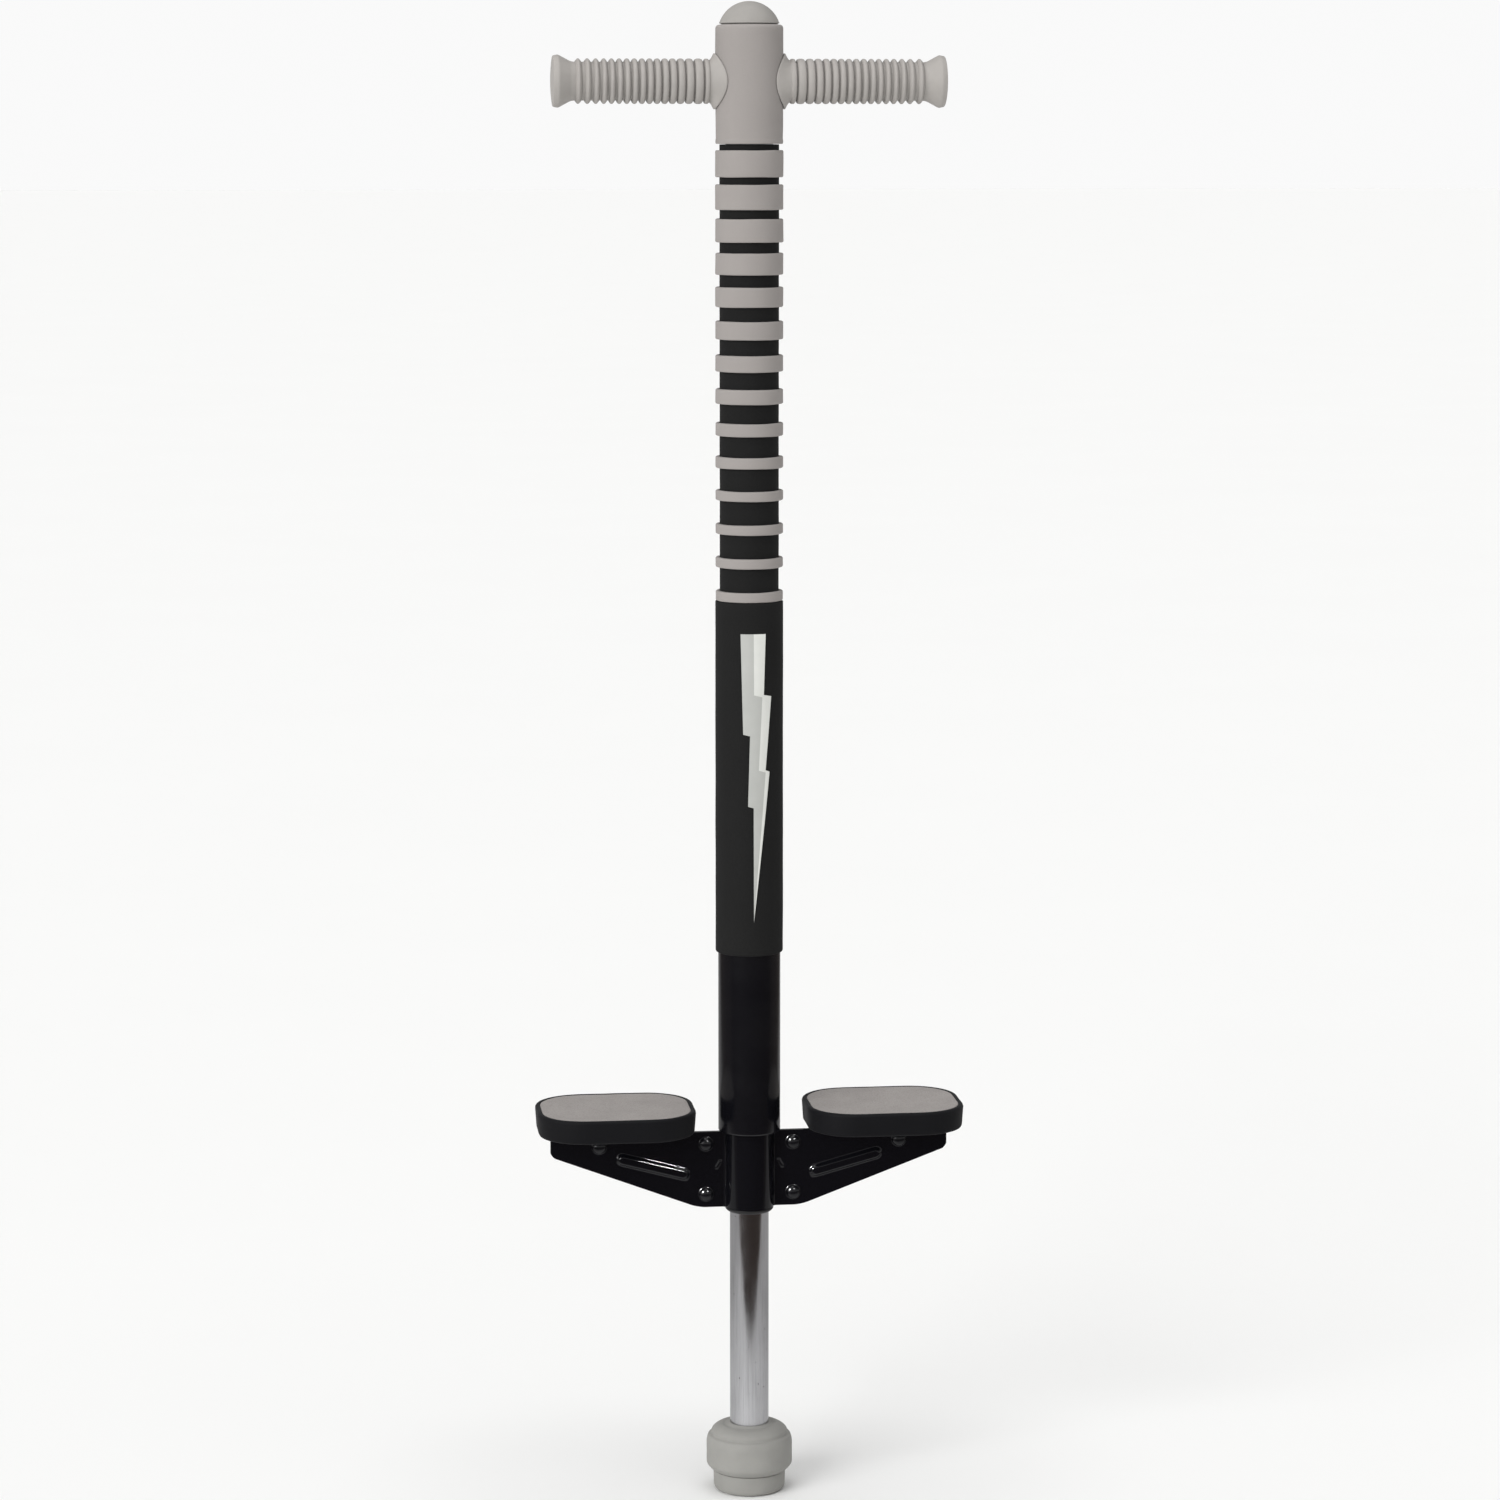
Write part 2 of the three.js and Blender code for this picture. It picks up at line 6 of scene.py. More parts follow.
import json
import math

import bmesh
import bpy
from mathutils import Matrix, Vector, noise

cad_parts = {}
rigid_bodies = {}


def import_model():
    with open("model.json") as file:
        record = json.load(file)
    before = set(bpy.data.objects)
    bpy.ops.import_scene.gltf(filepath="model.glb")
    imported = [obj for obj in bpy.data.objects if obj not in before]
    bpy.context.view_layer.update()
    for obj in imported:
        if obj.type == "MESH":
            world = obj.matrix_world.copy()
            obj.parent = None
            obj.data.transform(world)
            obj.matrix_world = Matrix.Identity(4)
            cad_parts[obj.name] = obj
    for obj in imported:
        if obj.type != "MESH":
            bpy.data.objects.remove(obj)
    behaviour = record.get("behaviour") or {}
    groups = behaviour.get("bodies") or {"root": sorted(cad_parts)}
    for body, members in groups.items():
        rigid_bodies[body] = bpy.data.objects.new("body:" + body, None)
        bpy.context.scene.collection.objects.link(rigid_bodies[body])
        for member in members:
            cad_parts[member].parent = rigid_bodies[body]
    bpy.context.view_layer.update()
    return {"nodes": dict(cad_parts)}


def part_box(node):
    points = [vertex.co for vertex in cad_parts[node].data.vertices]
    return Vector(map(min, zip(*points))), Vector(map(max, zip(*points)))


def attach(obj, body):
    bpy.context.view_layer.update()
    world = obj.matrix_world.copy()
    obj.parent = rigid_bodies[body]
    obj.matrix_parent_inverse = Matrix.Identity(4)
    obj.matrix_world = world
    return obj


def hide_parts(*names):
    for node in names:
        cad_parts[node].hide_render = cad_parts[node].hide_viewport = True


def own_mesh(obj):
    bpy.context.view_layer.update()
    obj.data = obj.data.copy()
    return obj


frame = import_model()

MM = 0.001
WELD = 1e-6  # points closer than this many metres become one

# ---- driving dimensions in millimetres, where the frame doesn't give them ------------------------

ROUND = 96  # sides of most turned pieces
FINE_ROUND = 128  # sides of the piston and the foot
GAP = 0.3  # clearance between neighbouring pieces
TUBE_RADIUS = 14.3  # upper tube
HOUSING_WALL = 1.5
PISTON_WALL = 1.5
RINGS = 14  # foam rings on the sleeve
HUB_SHOULDER = 2.6
CAP_SPIGOT = 12.5
BAR = {"radius": 9.53, "half_length": 112}
GRIP = {  # radii, and distances from the hub's axis
    "saddle": 20.6, "collar": 16.5, "collar_narrow": 0.9,
    "band": 13.3, "band_inner": 24.2, "band_outer": 27.3,
    "ridge": 13.4, "valley": 11.4, "ribs": 16, "first_rib": 30.7, "last_rib": 102.4,
    "flare_start": 105.2, "mouth": 15.7, "mouth_at": 114.4,
    "end_radius": 15.0, "end_at": 117.5, "end": 118.6,
}
GROOVE_RADIUS = 17.85  # sleeve between the rings
HOUSING = {"shoulder": 228.1, "corner": 1.2, "neck": 13.4, "bore": 12.3, "top": 505}
PLATE = {
    "thickness": 1.3, "top": 227.8, "bottom": 180.3, "flat_half": 32, "corner_x": 122.9, "corner_z": 214.4,
    "platform_top": 233.7, "platform_inner": 39, "saddle": 14.95, "fillet": 2.2, "bend": 2.4,
    "knee_reach": 5, "knee_cut": 0.55, "tip_reach": 3, "tip_cut": 2.2, "step_width": 3,
}
PLATE_GRID = {"saddle": 22, "fillet": 6, "wing_step": 0.75, "rows": 118}  # divisions of a plate's mesh
RIVET_SHANK = 2.5
# pressed ridges, with their ends as (x, z)
RIB = {"inner": (41, 201.5), "outer": (78.5, 211.5), "half_width": 3.0, "height": 1.8}
GUSSET = {"inner": (18.2, 208.8), "outer": (20.4, 205.2), "half_width": 0.5, "height": 0.7}
PRESS_SOFTNESS = 2.4  # width of the slope round a pressed rib
PEDAL = {"corner": 29, "edge": 1.8, "rim": 3.0, "recess": 1.5, "skirt": 4, "pocket_top": 234, "draft": 0.7}
TREAD_RINGS = 34  # divisions of a tread's mesh
FOOT = {
    "flat": 15.5, "shoulder": 29.5, "wall_bottom": 16.2, "lip": 1.1, "floor": 10,
    "crease": 35.6, "crease_depth": 1.2, "crease_above": 1.7, "crease_below": 0.55,
    "step": 13, "step_radius": 23.4, "sole_radius": 22.2, "sole_edge": 3.5,
}
# squash_to is the share of the coil's length that is left at full travel
SPRING = {"outer": 15, "wire": 4, "turns": 25, "closed_pitch": 4.2, "squash_to": 0.522}

# ---- mesh helpers ------------------------------------------------------------------------------


def box_mm(node):
    """Lowest and highest corner of a CAD node, in millimetres."""
    low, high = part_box(node)
    return low / MM, high / MM


def bar_height():
    """Height of the handlebar's axis."""
    low, high = box_mm("handlebar_tube")
    return (low.z + high.z) / 2


def add_object(name, data):
    """A new object in the scene from a mesh, a lamp or a camera."""
    thing = bpy.data.objects.new(name, data)
    bpy.context.scene.collection.objects.link(thing)
    return thing


def shade_smooth(mesh, sharp=35):
    """Smooth shading, but for edges sharper than that many degrees."""
    mesh.polygons.foreach_set("use_smooth", [True] * len(mesh.polygons))
    mesh.set_sharp_from_angle(angle=math.radians(sharp))


def make_object(name, points, faces, sharp=35):
    """A mesh object from points in millimetres, shaded smooth between its sharp edges."""
    mesh = bpy.data.meshes.new(name)
    mesh.from_pydata([Vector(p) * MM for p in points], [], faces)
    work = bmesh.new()
    work.from_mesh(mesh)
    bmesh.ops.recalc_face_normals(work, faces=work.faces)
    work.to_mesh(mesh)
    work.free()
    shade_smooth(mesh, sharp)
    return add_object(name, mesh)


def loft(name, rings, closed=False, sharp=35):
    """A skin over a row of rings. A ring is a list of points, all of one count, or one point as a pole."""
    points = []
    starts = []
    for ring in rings:
        starts.append(len(points))
        points.extend(ring)
    faces = []
    for a in range(len(rings) if closed else len(rings) - 1):
        b = (a + 1) % len(rings)
        sides = max(len(rings[a]), len(rings[b]))
        for i in range(sides):
            j = (i + 1) % sides
            low = [starts[a] + i, starts[a] + j] if len(rings[a]) > 1 else [starts[a]]
            high = [starts[b] + j, starts[b] + i] if len(rings[b]) > 1 else [starts[b]]
            faces.append(low + high)
    return make_object(name, points, faces, sharp)


def softened(corners, steps=4):
    """A path whose corners, given as (a, b, cut), are rounded off by that cut on each side."""
    path = []
    for i, corner in enumerate(corners):
        at = Vector(corner[:2])
        cut = corner[2] if len(corner) > 2 else 0
        if not cut:
            path.append(tuple(at))
            continue
        before = Vector(corners[i - 1][:2]) - at
        after = Vector(corners[(i + 1) % len(corners)][:2]) - at
        start = at + before.normalized() * cut
        end = at + after.normalized() * cut
        for step in range(steps + 1):
            t = step / steps
            path.append(tuple(start * (1 - t) ** 2 + at * 2 * t * (1 - t) + end * t * t))
    return path


def arc(centre, radius_a, radius_b, start, end, steps):
    """Points along an ellipse about centre, from start to end in degrees."""
    angles = [math.radians(start + (end - start) * i / steps) for i in range(steps + 1)]
    return [(centre[0] + radius_a * math.cos(t), centre[1] + radius_b * math.sin(t)) for t in angles]


def circle(radius, z, sides=ROUND):
    angles = [2 * math.pi * i / sides for i in range(sides)]
    return [(radius * math.cos(t), radius * math.sin(t), z) for t in angles]


def turned(name, profile, sides=ROUND, closed=True, sharp=35):
    """A profile of (radius, height) turned about the Z axis. A radius of 0 is a pole."""
    rings = [circle(r, z, sides) if r > 1e-6 else [(0, 0, z)] for r, z in profile]
    return loft(name, rings, closed, sharp)


def divided(profile, longest):
    """The same closed profile with points added, so that no stretch is longer than given."""
    path = []
    for i, start in enumerate(profile):
        end = profile[(i + 1) % len(profile)]
        pieces = max(1, math.ceil(math.dist(start, end) / longest))
        path += [tuple(Vector(start).lerp(Vector(end), k / pieces)) for k in range(pieces)]
    return path


def uneven(piece, amount, size, seed):
    """Moves each point along its normal by smooth noise: amount and feature size in millimetres."""
    offset = Vector((seed * 7.3, seed * 3.1, seed * 5.7))
    normals = [v.normal.copy() for v in piece.data.vertices]
    for vertex, normal in zip(piece.data.vertices, normals):
        vertex.co += normal * noise.noise(vertex.co / (size * MM) + offset) * amount * MM


def rounded_rectangle(length, width, corner, corner_steps=10, side_steps=8):
    """A loop of (x, y) points round a rectangle with round corners."""
    x = length / 2 - corner
    y = width / 2 - corner
    centres = [(x, y), (-x, y), (-x, -y), (x, -y)]
    loop = []
    for i, centre in enumerate(centres):
        turn = 90 * (i + 1)
        loop += arc(centre, corner, corner, turn - 90, turn, corner_steps)
        start = Vector(loop[-1])
        end = Vector(arc(centres[(i + 1) % 4], corner, corner, turn, turn, 1)[0])
        loop += [tuple(start.lerp(end, k / side_steps)) for k in range(1, side_steps)]
    return loop


def cut_with(piece, tool):
    """Subtracts the tool from the piece for good."""
    modifier = piece.modifiers.new("cut", "BOOLEAN")
    modifier.operation = "DIFFERENCE"
    modifier.solver = "EXACT"
    modifier.object = tool
    graph = bpy.context.evaluated_depsgraph_get()
    mesh = bpy.data.meshes.new_from_object(piece.evaluated_get(graph))
    piece.modifiers.clear()
    piece.data = mesh
    shade_smooth(mesh)
    bpy.data.objects.remove(tool)


def joined(name, pieces):
    """One object from several, with the points that they share welded together."""
    work = bmesh.new()
    for piece in pieces:
        work.from_mesh(piece.data)
        bpy.data.objects.remove(piece)
    bmesh.ops.remove_doubles(work, verts=work.verts, dist=WELD)
    mesh = bpy.data.meshes.new(name)
    work.to_mesh(mesh)
    work.free()
    shade_smooth(mesh)
    return add_object(name, mesh)


# ---- materials ---------------------------------------------------------------------------------


def seen(red, green, blue):
    """A colour given in 0 to 255 as it is seen, in Blender's linear values."""
    values = [c / 255 for c in (red, green, blue)]
    return [c / 12.92 if c < 0.04045 else ((c + 0.055) / 1.055) ** 2.4 for c in values] + [1.0]


class Finish:
    """A node material: one Principled shader fed by textures in the object's own coordinates."""

    def __init__(self, name, **values):
        self.material = bpy.data.materials.new(name)
        self.material.use_nodes = True
        self.tree = self.material.node_tree
        self.shader = self.tree.nodes["Principled BSDF"]
        self.place = self.add("ShaderNodeTexCoord").outputs["Object"]
        for socket, value in values.items():
            self.shader.inputs[socket.replace("_", " ")].default_value = value

    def add(self, kind, inputs=None, **settings):
        """A node with those settings. An input is linked if it is another node's socket, or else set."""
        node = self.tree.nodes.new(kind)
        for key, value in settings.items():
            setattr(node, key, value)
        for key, value in (inputs or {}).items():
            if isinstance(value, bpy.types.NodeSocket):
                self.tree.links.new(value, node.inputs[key])
            else:
                node.inputs[key].default_value = value
        return node

    def where(self, stretch):
        """The place on the object, scaled along each axis."""
        return self.add("ShaderNodeMapping", {"Vector": self.place, "Scale": stretch}).outputs[0]

    def noise(self, size, detail=3.0, stretch=(1, 1, 1), roughness=0.55):
        """Smooth noise with features of that size in millimetres. A stretch under 1 makes them longer."""
        inputs = {"Vector": self.where(stretch), "Scale": 1 / (size * MM), "Detail": detail}
        return self.add("ShaderNodeTexNoise", {**inputs, "Roughness": roughness}).outputs[0]

    def cells(self, size, feature="F1", stretch=(1, 1, 1)):
        """Distance to the nearest of the cell centres, which lie about that many millimetres apart."""
        inputs = {"Vector": self.where(stretch), "Scale": 1 / (size * MM)}
        return self.add("ShaderNodeTexVoronoi", inputs, feature=feature).outputs["Distance"]

    def between(self, value, low, high, to_low, to_high):
        """The value carried from one range to another, and held at its ends."""
        inputs = {0: value, 1: low, 2: high, 3: to_low, 4: to_high}
        return self.add("ShaderNodeMapRange", inputs, clamp=True).outputs[0]

    def maths(self, operation, a, b):
        return self.add("ShaderNodeMath", {0: a, 1: b}, operation=operation).outputs[0]

    def colours(self, value, stops):
        """A colour for each value, from (value, colour) stops."""
        ramp = self.add("ShaderNodeValToRGB", {0: value})
        elements = ramp.color_ramp.elements
        while len(elements) < len(stops):
            elements.new(0.5)
        for element, (position, colour) in zip(elements, stops):
            element.position = position
            element.color = colour
        return ramp.outputs[0]

    def mixed(self, share, first, second):
        """The first colour where share is 0 and the second where it is 1."""
        return self.add("ShaderNodeMix", {0: share, 6: first, 7: second}, data_type="RGBA").outputs[2]

    def edges(self, low=0.5, high=0.56):
        """1 on raised edges and 0 on flat or hollow places."""
        pointiness = self.add("ShaderNodeNewGeometry").outputs["Pointiness"]
        return self.between(pointiness, low, high, 0.0, 1.0)

    def height(self):
        """Height above the ground in metres."""
        return self.add("ShaderNodeSeparateXYZ", {0: self.place}).outputs["Z"]

    def bump(self, height, depth, strength=1.0):
        """Relief of that depth in millimetres. A later call goes on top of an earlier one."""
        inputs = {"Height": height, "Distance": depth * MM, "Strength": strength}
        before = self.shader.inputs["Normal"].links
        if before:
            inputs["Normal"] = before[0].from_socket
        self.tree.links.new(self.add("ShaderNodeBump", inputs).outputs[0], self.shader.inputs["Normal"])

    def paint(self, colour, roughness=None):
        self.tree.links.new(colour, self.shader.inputs["Base Color"])
        if roughness is not None:
            self.tree.links.new(roughness, self.shader.inputs["Roughness"])


def shade(colour, factor):
    return [c * factor for c in colour[:3]] + [1.0]


def foam(name, colour, grain, contrast, sheen):
    """Closed-cell foam: a fine pitted skin, cloudy colour and scuffed, slightly paler edges."""
    f = Finish(name, Sheen_Weight=sheen, Sheen_Roughness=0.6, Specular_IOR_Level=0.2)
    cloud = f.noise(22, 3)
    fine = f.noise(grain, 2, roughness=0.7)
    pits = f.cells(grain * 1.6, "SMOOTH_F1")
    base = f.colours(cloud, [(0.3, shade(colour, 1 - contrast)), (0.7, shade(colour, 1 + contrast))])
    speckled = f.mixed(f.between(fine, 0.3, 0.7, 0.0, 0.35), base, shade(colour, 1 - 3 * contrast))
    worn = f.mixed(f.maths("MULTIPLY", f.edges(), 0.3), speckled, shade(colour, 1.18))
    f.paint(worn, f.between(fine, 0.25, 0.75, 0.74, 0.92))
    f.bump(f.noise(7, 2), 0.12, 0.35)
    f.bump(pits, 0.07, 0.5)
    f.bump(fine, 0.05, 0.5)
    return f.material


def moulded_rubber(name, colour, gloss, shine, dust_and_shade, grain=0.45):
    """Moulded rubber: satin, faintly grained, with painted shade in its hollows, where the colour darkens as
    the AO node finds nearby surfaces.
    """
    f = Finish(name, Specular_IOR_Level=shine, Sheen_Weight=0.03, Sheen_Roughness=0.5)
    cloud = f.noise(14, 4)
    fine = f.noise(grain, 2, roughness=0.65)
    base = f.colours(cloud, [(0.3, shade(colour, 0.95)), (0.7, shade(colour, 1.05))])
    # Painted shade: the colour darkens towards half its tone in hollows, by the given share, where the AO
    # node finds nearby surfaces.
    occlusion = f.add("ShaderNodeAmbientOcclusion", {"Distance": 2.2 * MM}, samples=6).outputs["AO"]
    hollow = f.between(occlusion, 0.35, 0.95, dust_and_shade, 0.0)
    hollow_shaded = f.mixed(hollow, base, shade(colour, 0.5))
    worn = f.mixed(f.maths("MULTIPLY", f.edges(0.51, 0.6), 0.25), hollow_shaded, shade(colour, 1.22))
    f.paint(worn, f.between(cloud, 0.3, 0.7, gloss - 0.07, gloss + 0.07))
    f.bump(f.noise(3.5, 3), 0.012, 0.5)
    f.bump(fine, 0.02, 0.6)
    return f.material


def enamel(name, shine, smoothest, roughest):
    """Gloss black enamel over steel: orange peel, faint dust and fine rub marks."""
    f = Finish(name, Specular_IOR_Level=shine)
    dust_and_shade = f.noise(0.7, 5, roughness=0.8)
    haze = f.noise(24, 4)
    base = f.colours(dust_and_shade, [(0.66, seen(12, 12, 16)), (0.8, seen(20, 20, 24))])
    worn = f.mixed(f.maths("MULTIPLY", f.edges(0.56, 0.7), 0.3), base, seen(34, 34, 37))
    f.paint(worn, f.between(haze, 0.3, 0.75, smoothest, roughest))
    f.bump(f.noise(2.2, 2), 0.006, 0.35)
    f.bump(f.noise(16, 2), 0.08, 0.2)
    return f.material


def chrome(name):
    """Polished chrome plate with fine lengthwise draw lines, small pits and a dull film low down."""
    f = Finish(name, Metallic=1.0)
    lines = f.noise(0.5, 4, stretch=(1, 1, 0.012), roughness=0.7)
    film = f.noise(9, 4, stretch=(1, 1, 0.35))
    pits = f.between(f.cells(4.5, stretch=(1, 1, 0.55)), 0.0, 0.1, 1.0, 0.0)
    patches = f.between(f.noise(30, 2), 0.4, 0.5, 0.0, 1.0)
    spots = f.maths("MULTIPLY", pits, patches)
    bright = seen(189, 189, 191)
    streaked = f.mixed(f.between(lines, 0.42, 0.72, 0.0, 0.6), bright, seen(144, 143, 144))
    clouded = f.mixed(f.between(film, 0.45, 0.75, 0.0, 0.5), streaked, seen(203, 203, 205))
    low_film = f.between(f.height(), 0.05, 0.2, 0.09, 0.0)
    haze = f.maths("ADD", f.between(film, 0.3, 0.8, 0.05, 0.15), low_film)
    rough_spots = f.maths("MULTIPLY", spots, 0.4)
    f.paint(f.mixed(spots, clouded, seen(50, 46, 44)), f.maths("ADD", haze, rough_spots))
    f.bump(lines, 0.004, 0.5)
    f.bump(pits, -0.03, 0.3)
    return f.material


def steel(name):
    """Zinc-plated steel: cloudy plating and fine drawn lines."""
    f = Finish(name, Metallic=1.0)
    cloud = f.noise(6, 4)
    lines = f.noise(0.4, 3, stretch=(1, 1, 0.05))
    f.paint(f.colours(cloud, [(0.3, seen(128, 130, 134)), (0.7, seen(160, 161, 163))]),
            f.between(lines, 0.3, 0.7, 0.28, 0.48))
    f.bump(lines, 0.01, 0.5)
    return f.material


def nylon(name):
    """Smooth black nylon with turning marks."""
    f = Finish(name, Specular_IOR_Level=0.4)
    marks = f.noise(0.6, 3, stretch=(0.1, 0.1, 1))
    f.paint(f.colours(marks, [(0.3, seen(17, 17, 18)), (0.7, seen(27, 27, 28))]),
            f.between(marks, 0.3, 0.7, 0.35, 0.55))
    f.bump(marks, 0.01, 0.5)
    return f.material


def pebbled(name):
    """Non-slip tread: packed rounded grit with dark gaps and trodden patches."""
    f = Finish(name, Specular_IOR_Level=0.3)
    grit = f.cells(0.75)
    fine = f.noise(0.35, 2, roughness=0.7)
    trodden = f.noise(20, 3)
    colour = seen(158, 153, 150)
    base = f.colours(trodden, [(0.3, shade(colour, 0.93)), (0.7, shade(colour, 1.06))])
    gaps = f.mixed(f.between(grit, 0.35, 0.85, 0.0, 0.45), base, shade(colour, 0.55))
    speckled = f.mixed(f.between(fine, 0.6, 0.75, 0.0, 0.4), gaps, shade(colour, 1.3))
    f.paint(speckled, f.between(fine, 0.3, 0.7, 0.72, 0.95))
    f.bump(f.between(grit, 0.0, 0.9, 1.0, 0.0), 0.16, 0.6)
    f.bump(fine, 0.05, 0.5)
    return f.material


def print_film(name, colour):
    """Satin print on the foam: the foam's grain shows through, with small rubs in the ink."""
    f = Finish(name, Specular_IOR_Level=0.45)
    cloud = f.noise(9, 4)
    fine = f.noise(0.5, 2, roughness=0.7)
    base = f.colours(cloud, [(0.3, shade(colour, 0.97)), (0.7, shade(colour, 1.03))])
    rubbed = f.mixed(f.between(fine, 0.66, 0.8, 0.0, 0.5), base, shade(colour, 0.7))
    f.paint(rubbed, f.between(cloud, 0.3, 0.7, 0.38, 0.52))
    f.bump(fine, 0.03, 0.4)
    return f.material


GREY_RUBBER = seen(161, 157, 153)
BLACK_RUBBER = seen(14, 14, 17)
MATERIALS = {
    "grey_foam": foam("grey_foam_skin", seen(150, 145, 142), grain=0.55, contrast=0.025, sheen=0.08),
    "grey_rubber": moulded_rubber("grey_rubber_moulded", GREY_RUBBER, gloss=0.62, shine=0.35, dust_and_shade=0.5),
    "black_foam": foam("black_foam_skin", seen(24, 24, 24), grain=0.6, contrast=0.07, sheen=0.01),
    "black_enamel": enamel("black_enamel_satin", shine=0.4, smoothest=0.13, roughest=0.24),
    "black_rubber": moulded_rubber(
        "black_rubber_moulded", BLACK_RUBBER, gloss=0.66, shine=0.13, dust_and_shade=0.1, grain=0.5,
    ),
    "grey_tread": pebbled("grey_tread_pebbled"),
    "chrome": chrome("chrome_plate"),
    "steel": steel("zinc_steel"),
    "black_nylon": nylon("black_nylon_turned"),
    "silver_print": print_film("silver_print_dark", seen(176, 177, 173)),
}
# other finishes of those slots, on the bolt's light half, the plates, the rivets, the cap and the foot
LIGHT_PRINT = print_film("silver_print_light", seen(212, 213, 208))
GLOSSY_ENAMEL = enamel("black_enamel_gloss", shine=0.32, smoothest=0.07, roughest=0.12)
RIVET_ENAMEL = enamel("black_enamel_rivet", shine=0.32, smoothest=0.17, roughest=0.22)
# Painted shade: the cap's copy of the grey rubber is darker, to offset the strong light on top of its dome.
SHADED_CAP_RUBBER = moulded_rubber("grey_rubber_cap_shaded", seen(153, 150, 146), gloss=0.62, shine=0.3, dust_and_shade=0.4)
FOOT_RUBBER = moulded_rubber("grey_rubber_foot", seen(147, 146, 142), gloss=0.7, shine=0.25, dust_and_shade=0.15)


def finished(piece, slot, body, nodes):
    """Gives a piece its material and its place on a body, in the stead of some CAD nodes."""
    if not piece.data.materials:
        piece.data.materials.append(MATERIALS[slot])
    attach(piece, body)
    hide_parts(*nodes)
    return piece


# ---- handle --------------------------------------------------------------------------------------


def handle_hub():
    """The foam T-body: a soft shoulder on top, and a faint bead just above its lower edge."""
    low, high = box_mm("handle_hub")
    radius = high.x
    bore = TUBE_RADIUS + GAP
    bead = [(radius - 0.1, low.z, 0.7), (radius, low.z + 1.7, 0.5), (radius - 0.25, low.z + 3.2, 0.6)]
    wall = [(radius - 0.12, low.z + 12, 3), (radius, high.z, HUB_SHOULDER)]
    profile = softened([(bore, low.z), *bead, *wall, (bore, high.z)])
    hub = turned("hub_foam", divided(profile, longest=2.5))
    uneven(hub, amount=0.16, size=18, seed=1)
    drill_radius = BAR["radius"] + GAP
    reach = 2 * radius
    rod = [(0, -reach), (drill_radius, -reach), (drill_radius, reach), (0, reach)]
    drill = turned("drill", rod, sides=48, closed=False)
    along_x = Matrix.Rotation(math.pi / 2, 4, "Y")
    drill.matrix_world = Matrix.Translation((0, 0, bar_height() * MM)) @ along_x
    bpy.context.view_layer.update()
    cut_with(hub, drill)
    return finished(hub, "grey_foam", "frame", ["handle_hub"])


def top_cap():
    """The domed cap over a thin slot, with a softly rolled edge, on a hollow spigot."""
    low, high = box_mm("top_cap")
    seam = box_mm("handle_hub")[1].z + GAP
    base = high.x
    rise = high.z - seam
    ball = (base**2 + rise**2) / (2 * rise)
    edge = math.degrees(math.asin((ball - rise) / ball))
    dome = arc((0, high.z - ball), ball, ball, edge + 4, 90, 22)
    hollow = CAP_SPIGOT - 2
    spigot = [(0, seam - 2), (hollow, seam - 2), (hollow, low.z), (CAP_SPIGOT, low.z), (CAP_SPIGOT, seam)]
    slot = [(base - 1, seam), (base - 1, seam + 0.35)]
    rolled = softened([(base - 0.8, seam + 0.4), (base, seam + 0.4, 0.3), dome[0]])
    cap = turned("cap_dome", spigot + slot + rolled + dome[1:-1] + [(0, high.z)], closed=False)
    cap.data.materials.append(SHADED_CAP_RUBBER)
    return finished(cap, "grey_rubber", "frame", ["top_cap"])


def rib_centres():
    """Rib centres along a grip: the pitch is even in the middle and widens towards both ends."""
    spaces = GRIP["ribs"] - 1
    weights = [4.45 + (2 * i / (spaces - 1) - 1) ** 4 for i in range(spaces)]
    scale = (GRIP["last_rib"] - GRIP["first_rib"]) / sum(weights)
    centres = [GRIP["first_rib"]]
    for weight in weights:
        centres.append(centres[-1] + weight * scale)
    return centres


def rib_profile(centre, pitch, share):
    """One rib as (radius, distance) points. Share runs from 0 beside the hub to 1 at the far end.

    The ribs are broad with steep sides beside the hub, and get narrower and more sloping outwards.
    """
    crest = pitch * (0.26 - 0.16 * share)
    foot = pitch * (0.44 - 0.14 * share)
    valley = GRIP["valley"]
    ridge = GRIP["ridge"]
    rise = ridge - valley
    low_side = valley + rise * (0.45 - 0.15 * share)
    high_side = valley + rise * (0.82 - 0.2 * share)
    side = [(valley, foot + pitch * 0.045), (low_side, foot), (high_side, (foot + crest) / 2)]
    half = side + [(ridge - 0.25, crest + 0.1), (ridge, crest * 0.55)]
    return [(r, centre - x) for r, x in half] + [(r, centre + x) for r, x in reversed(half)]


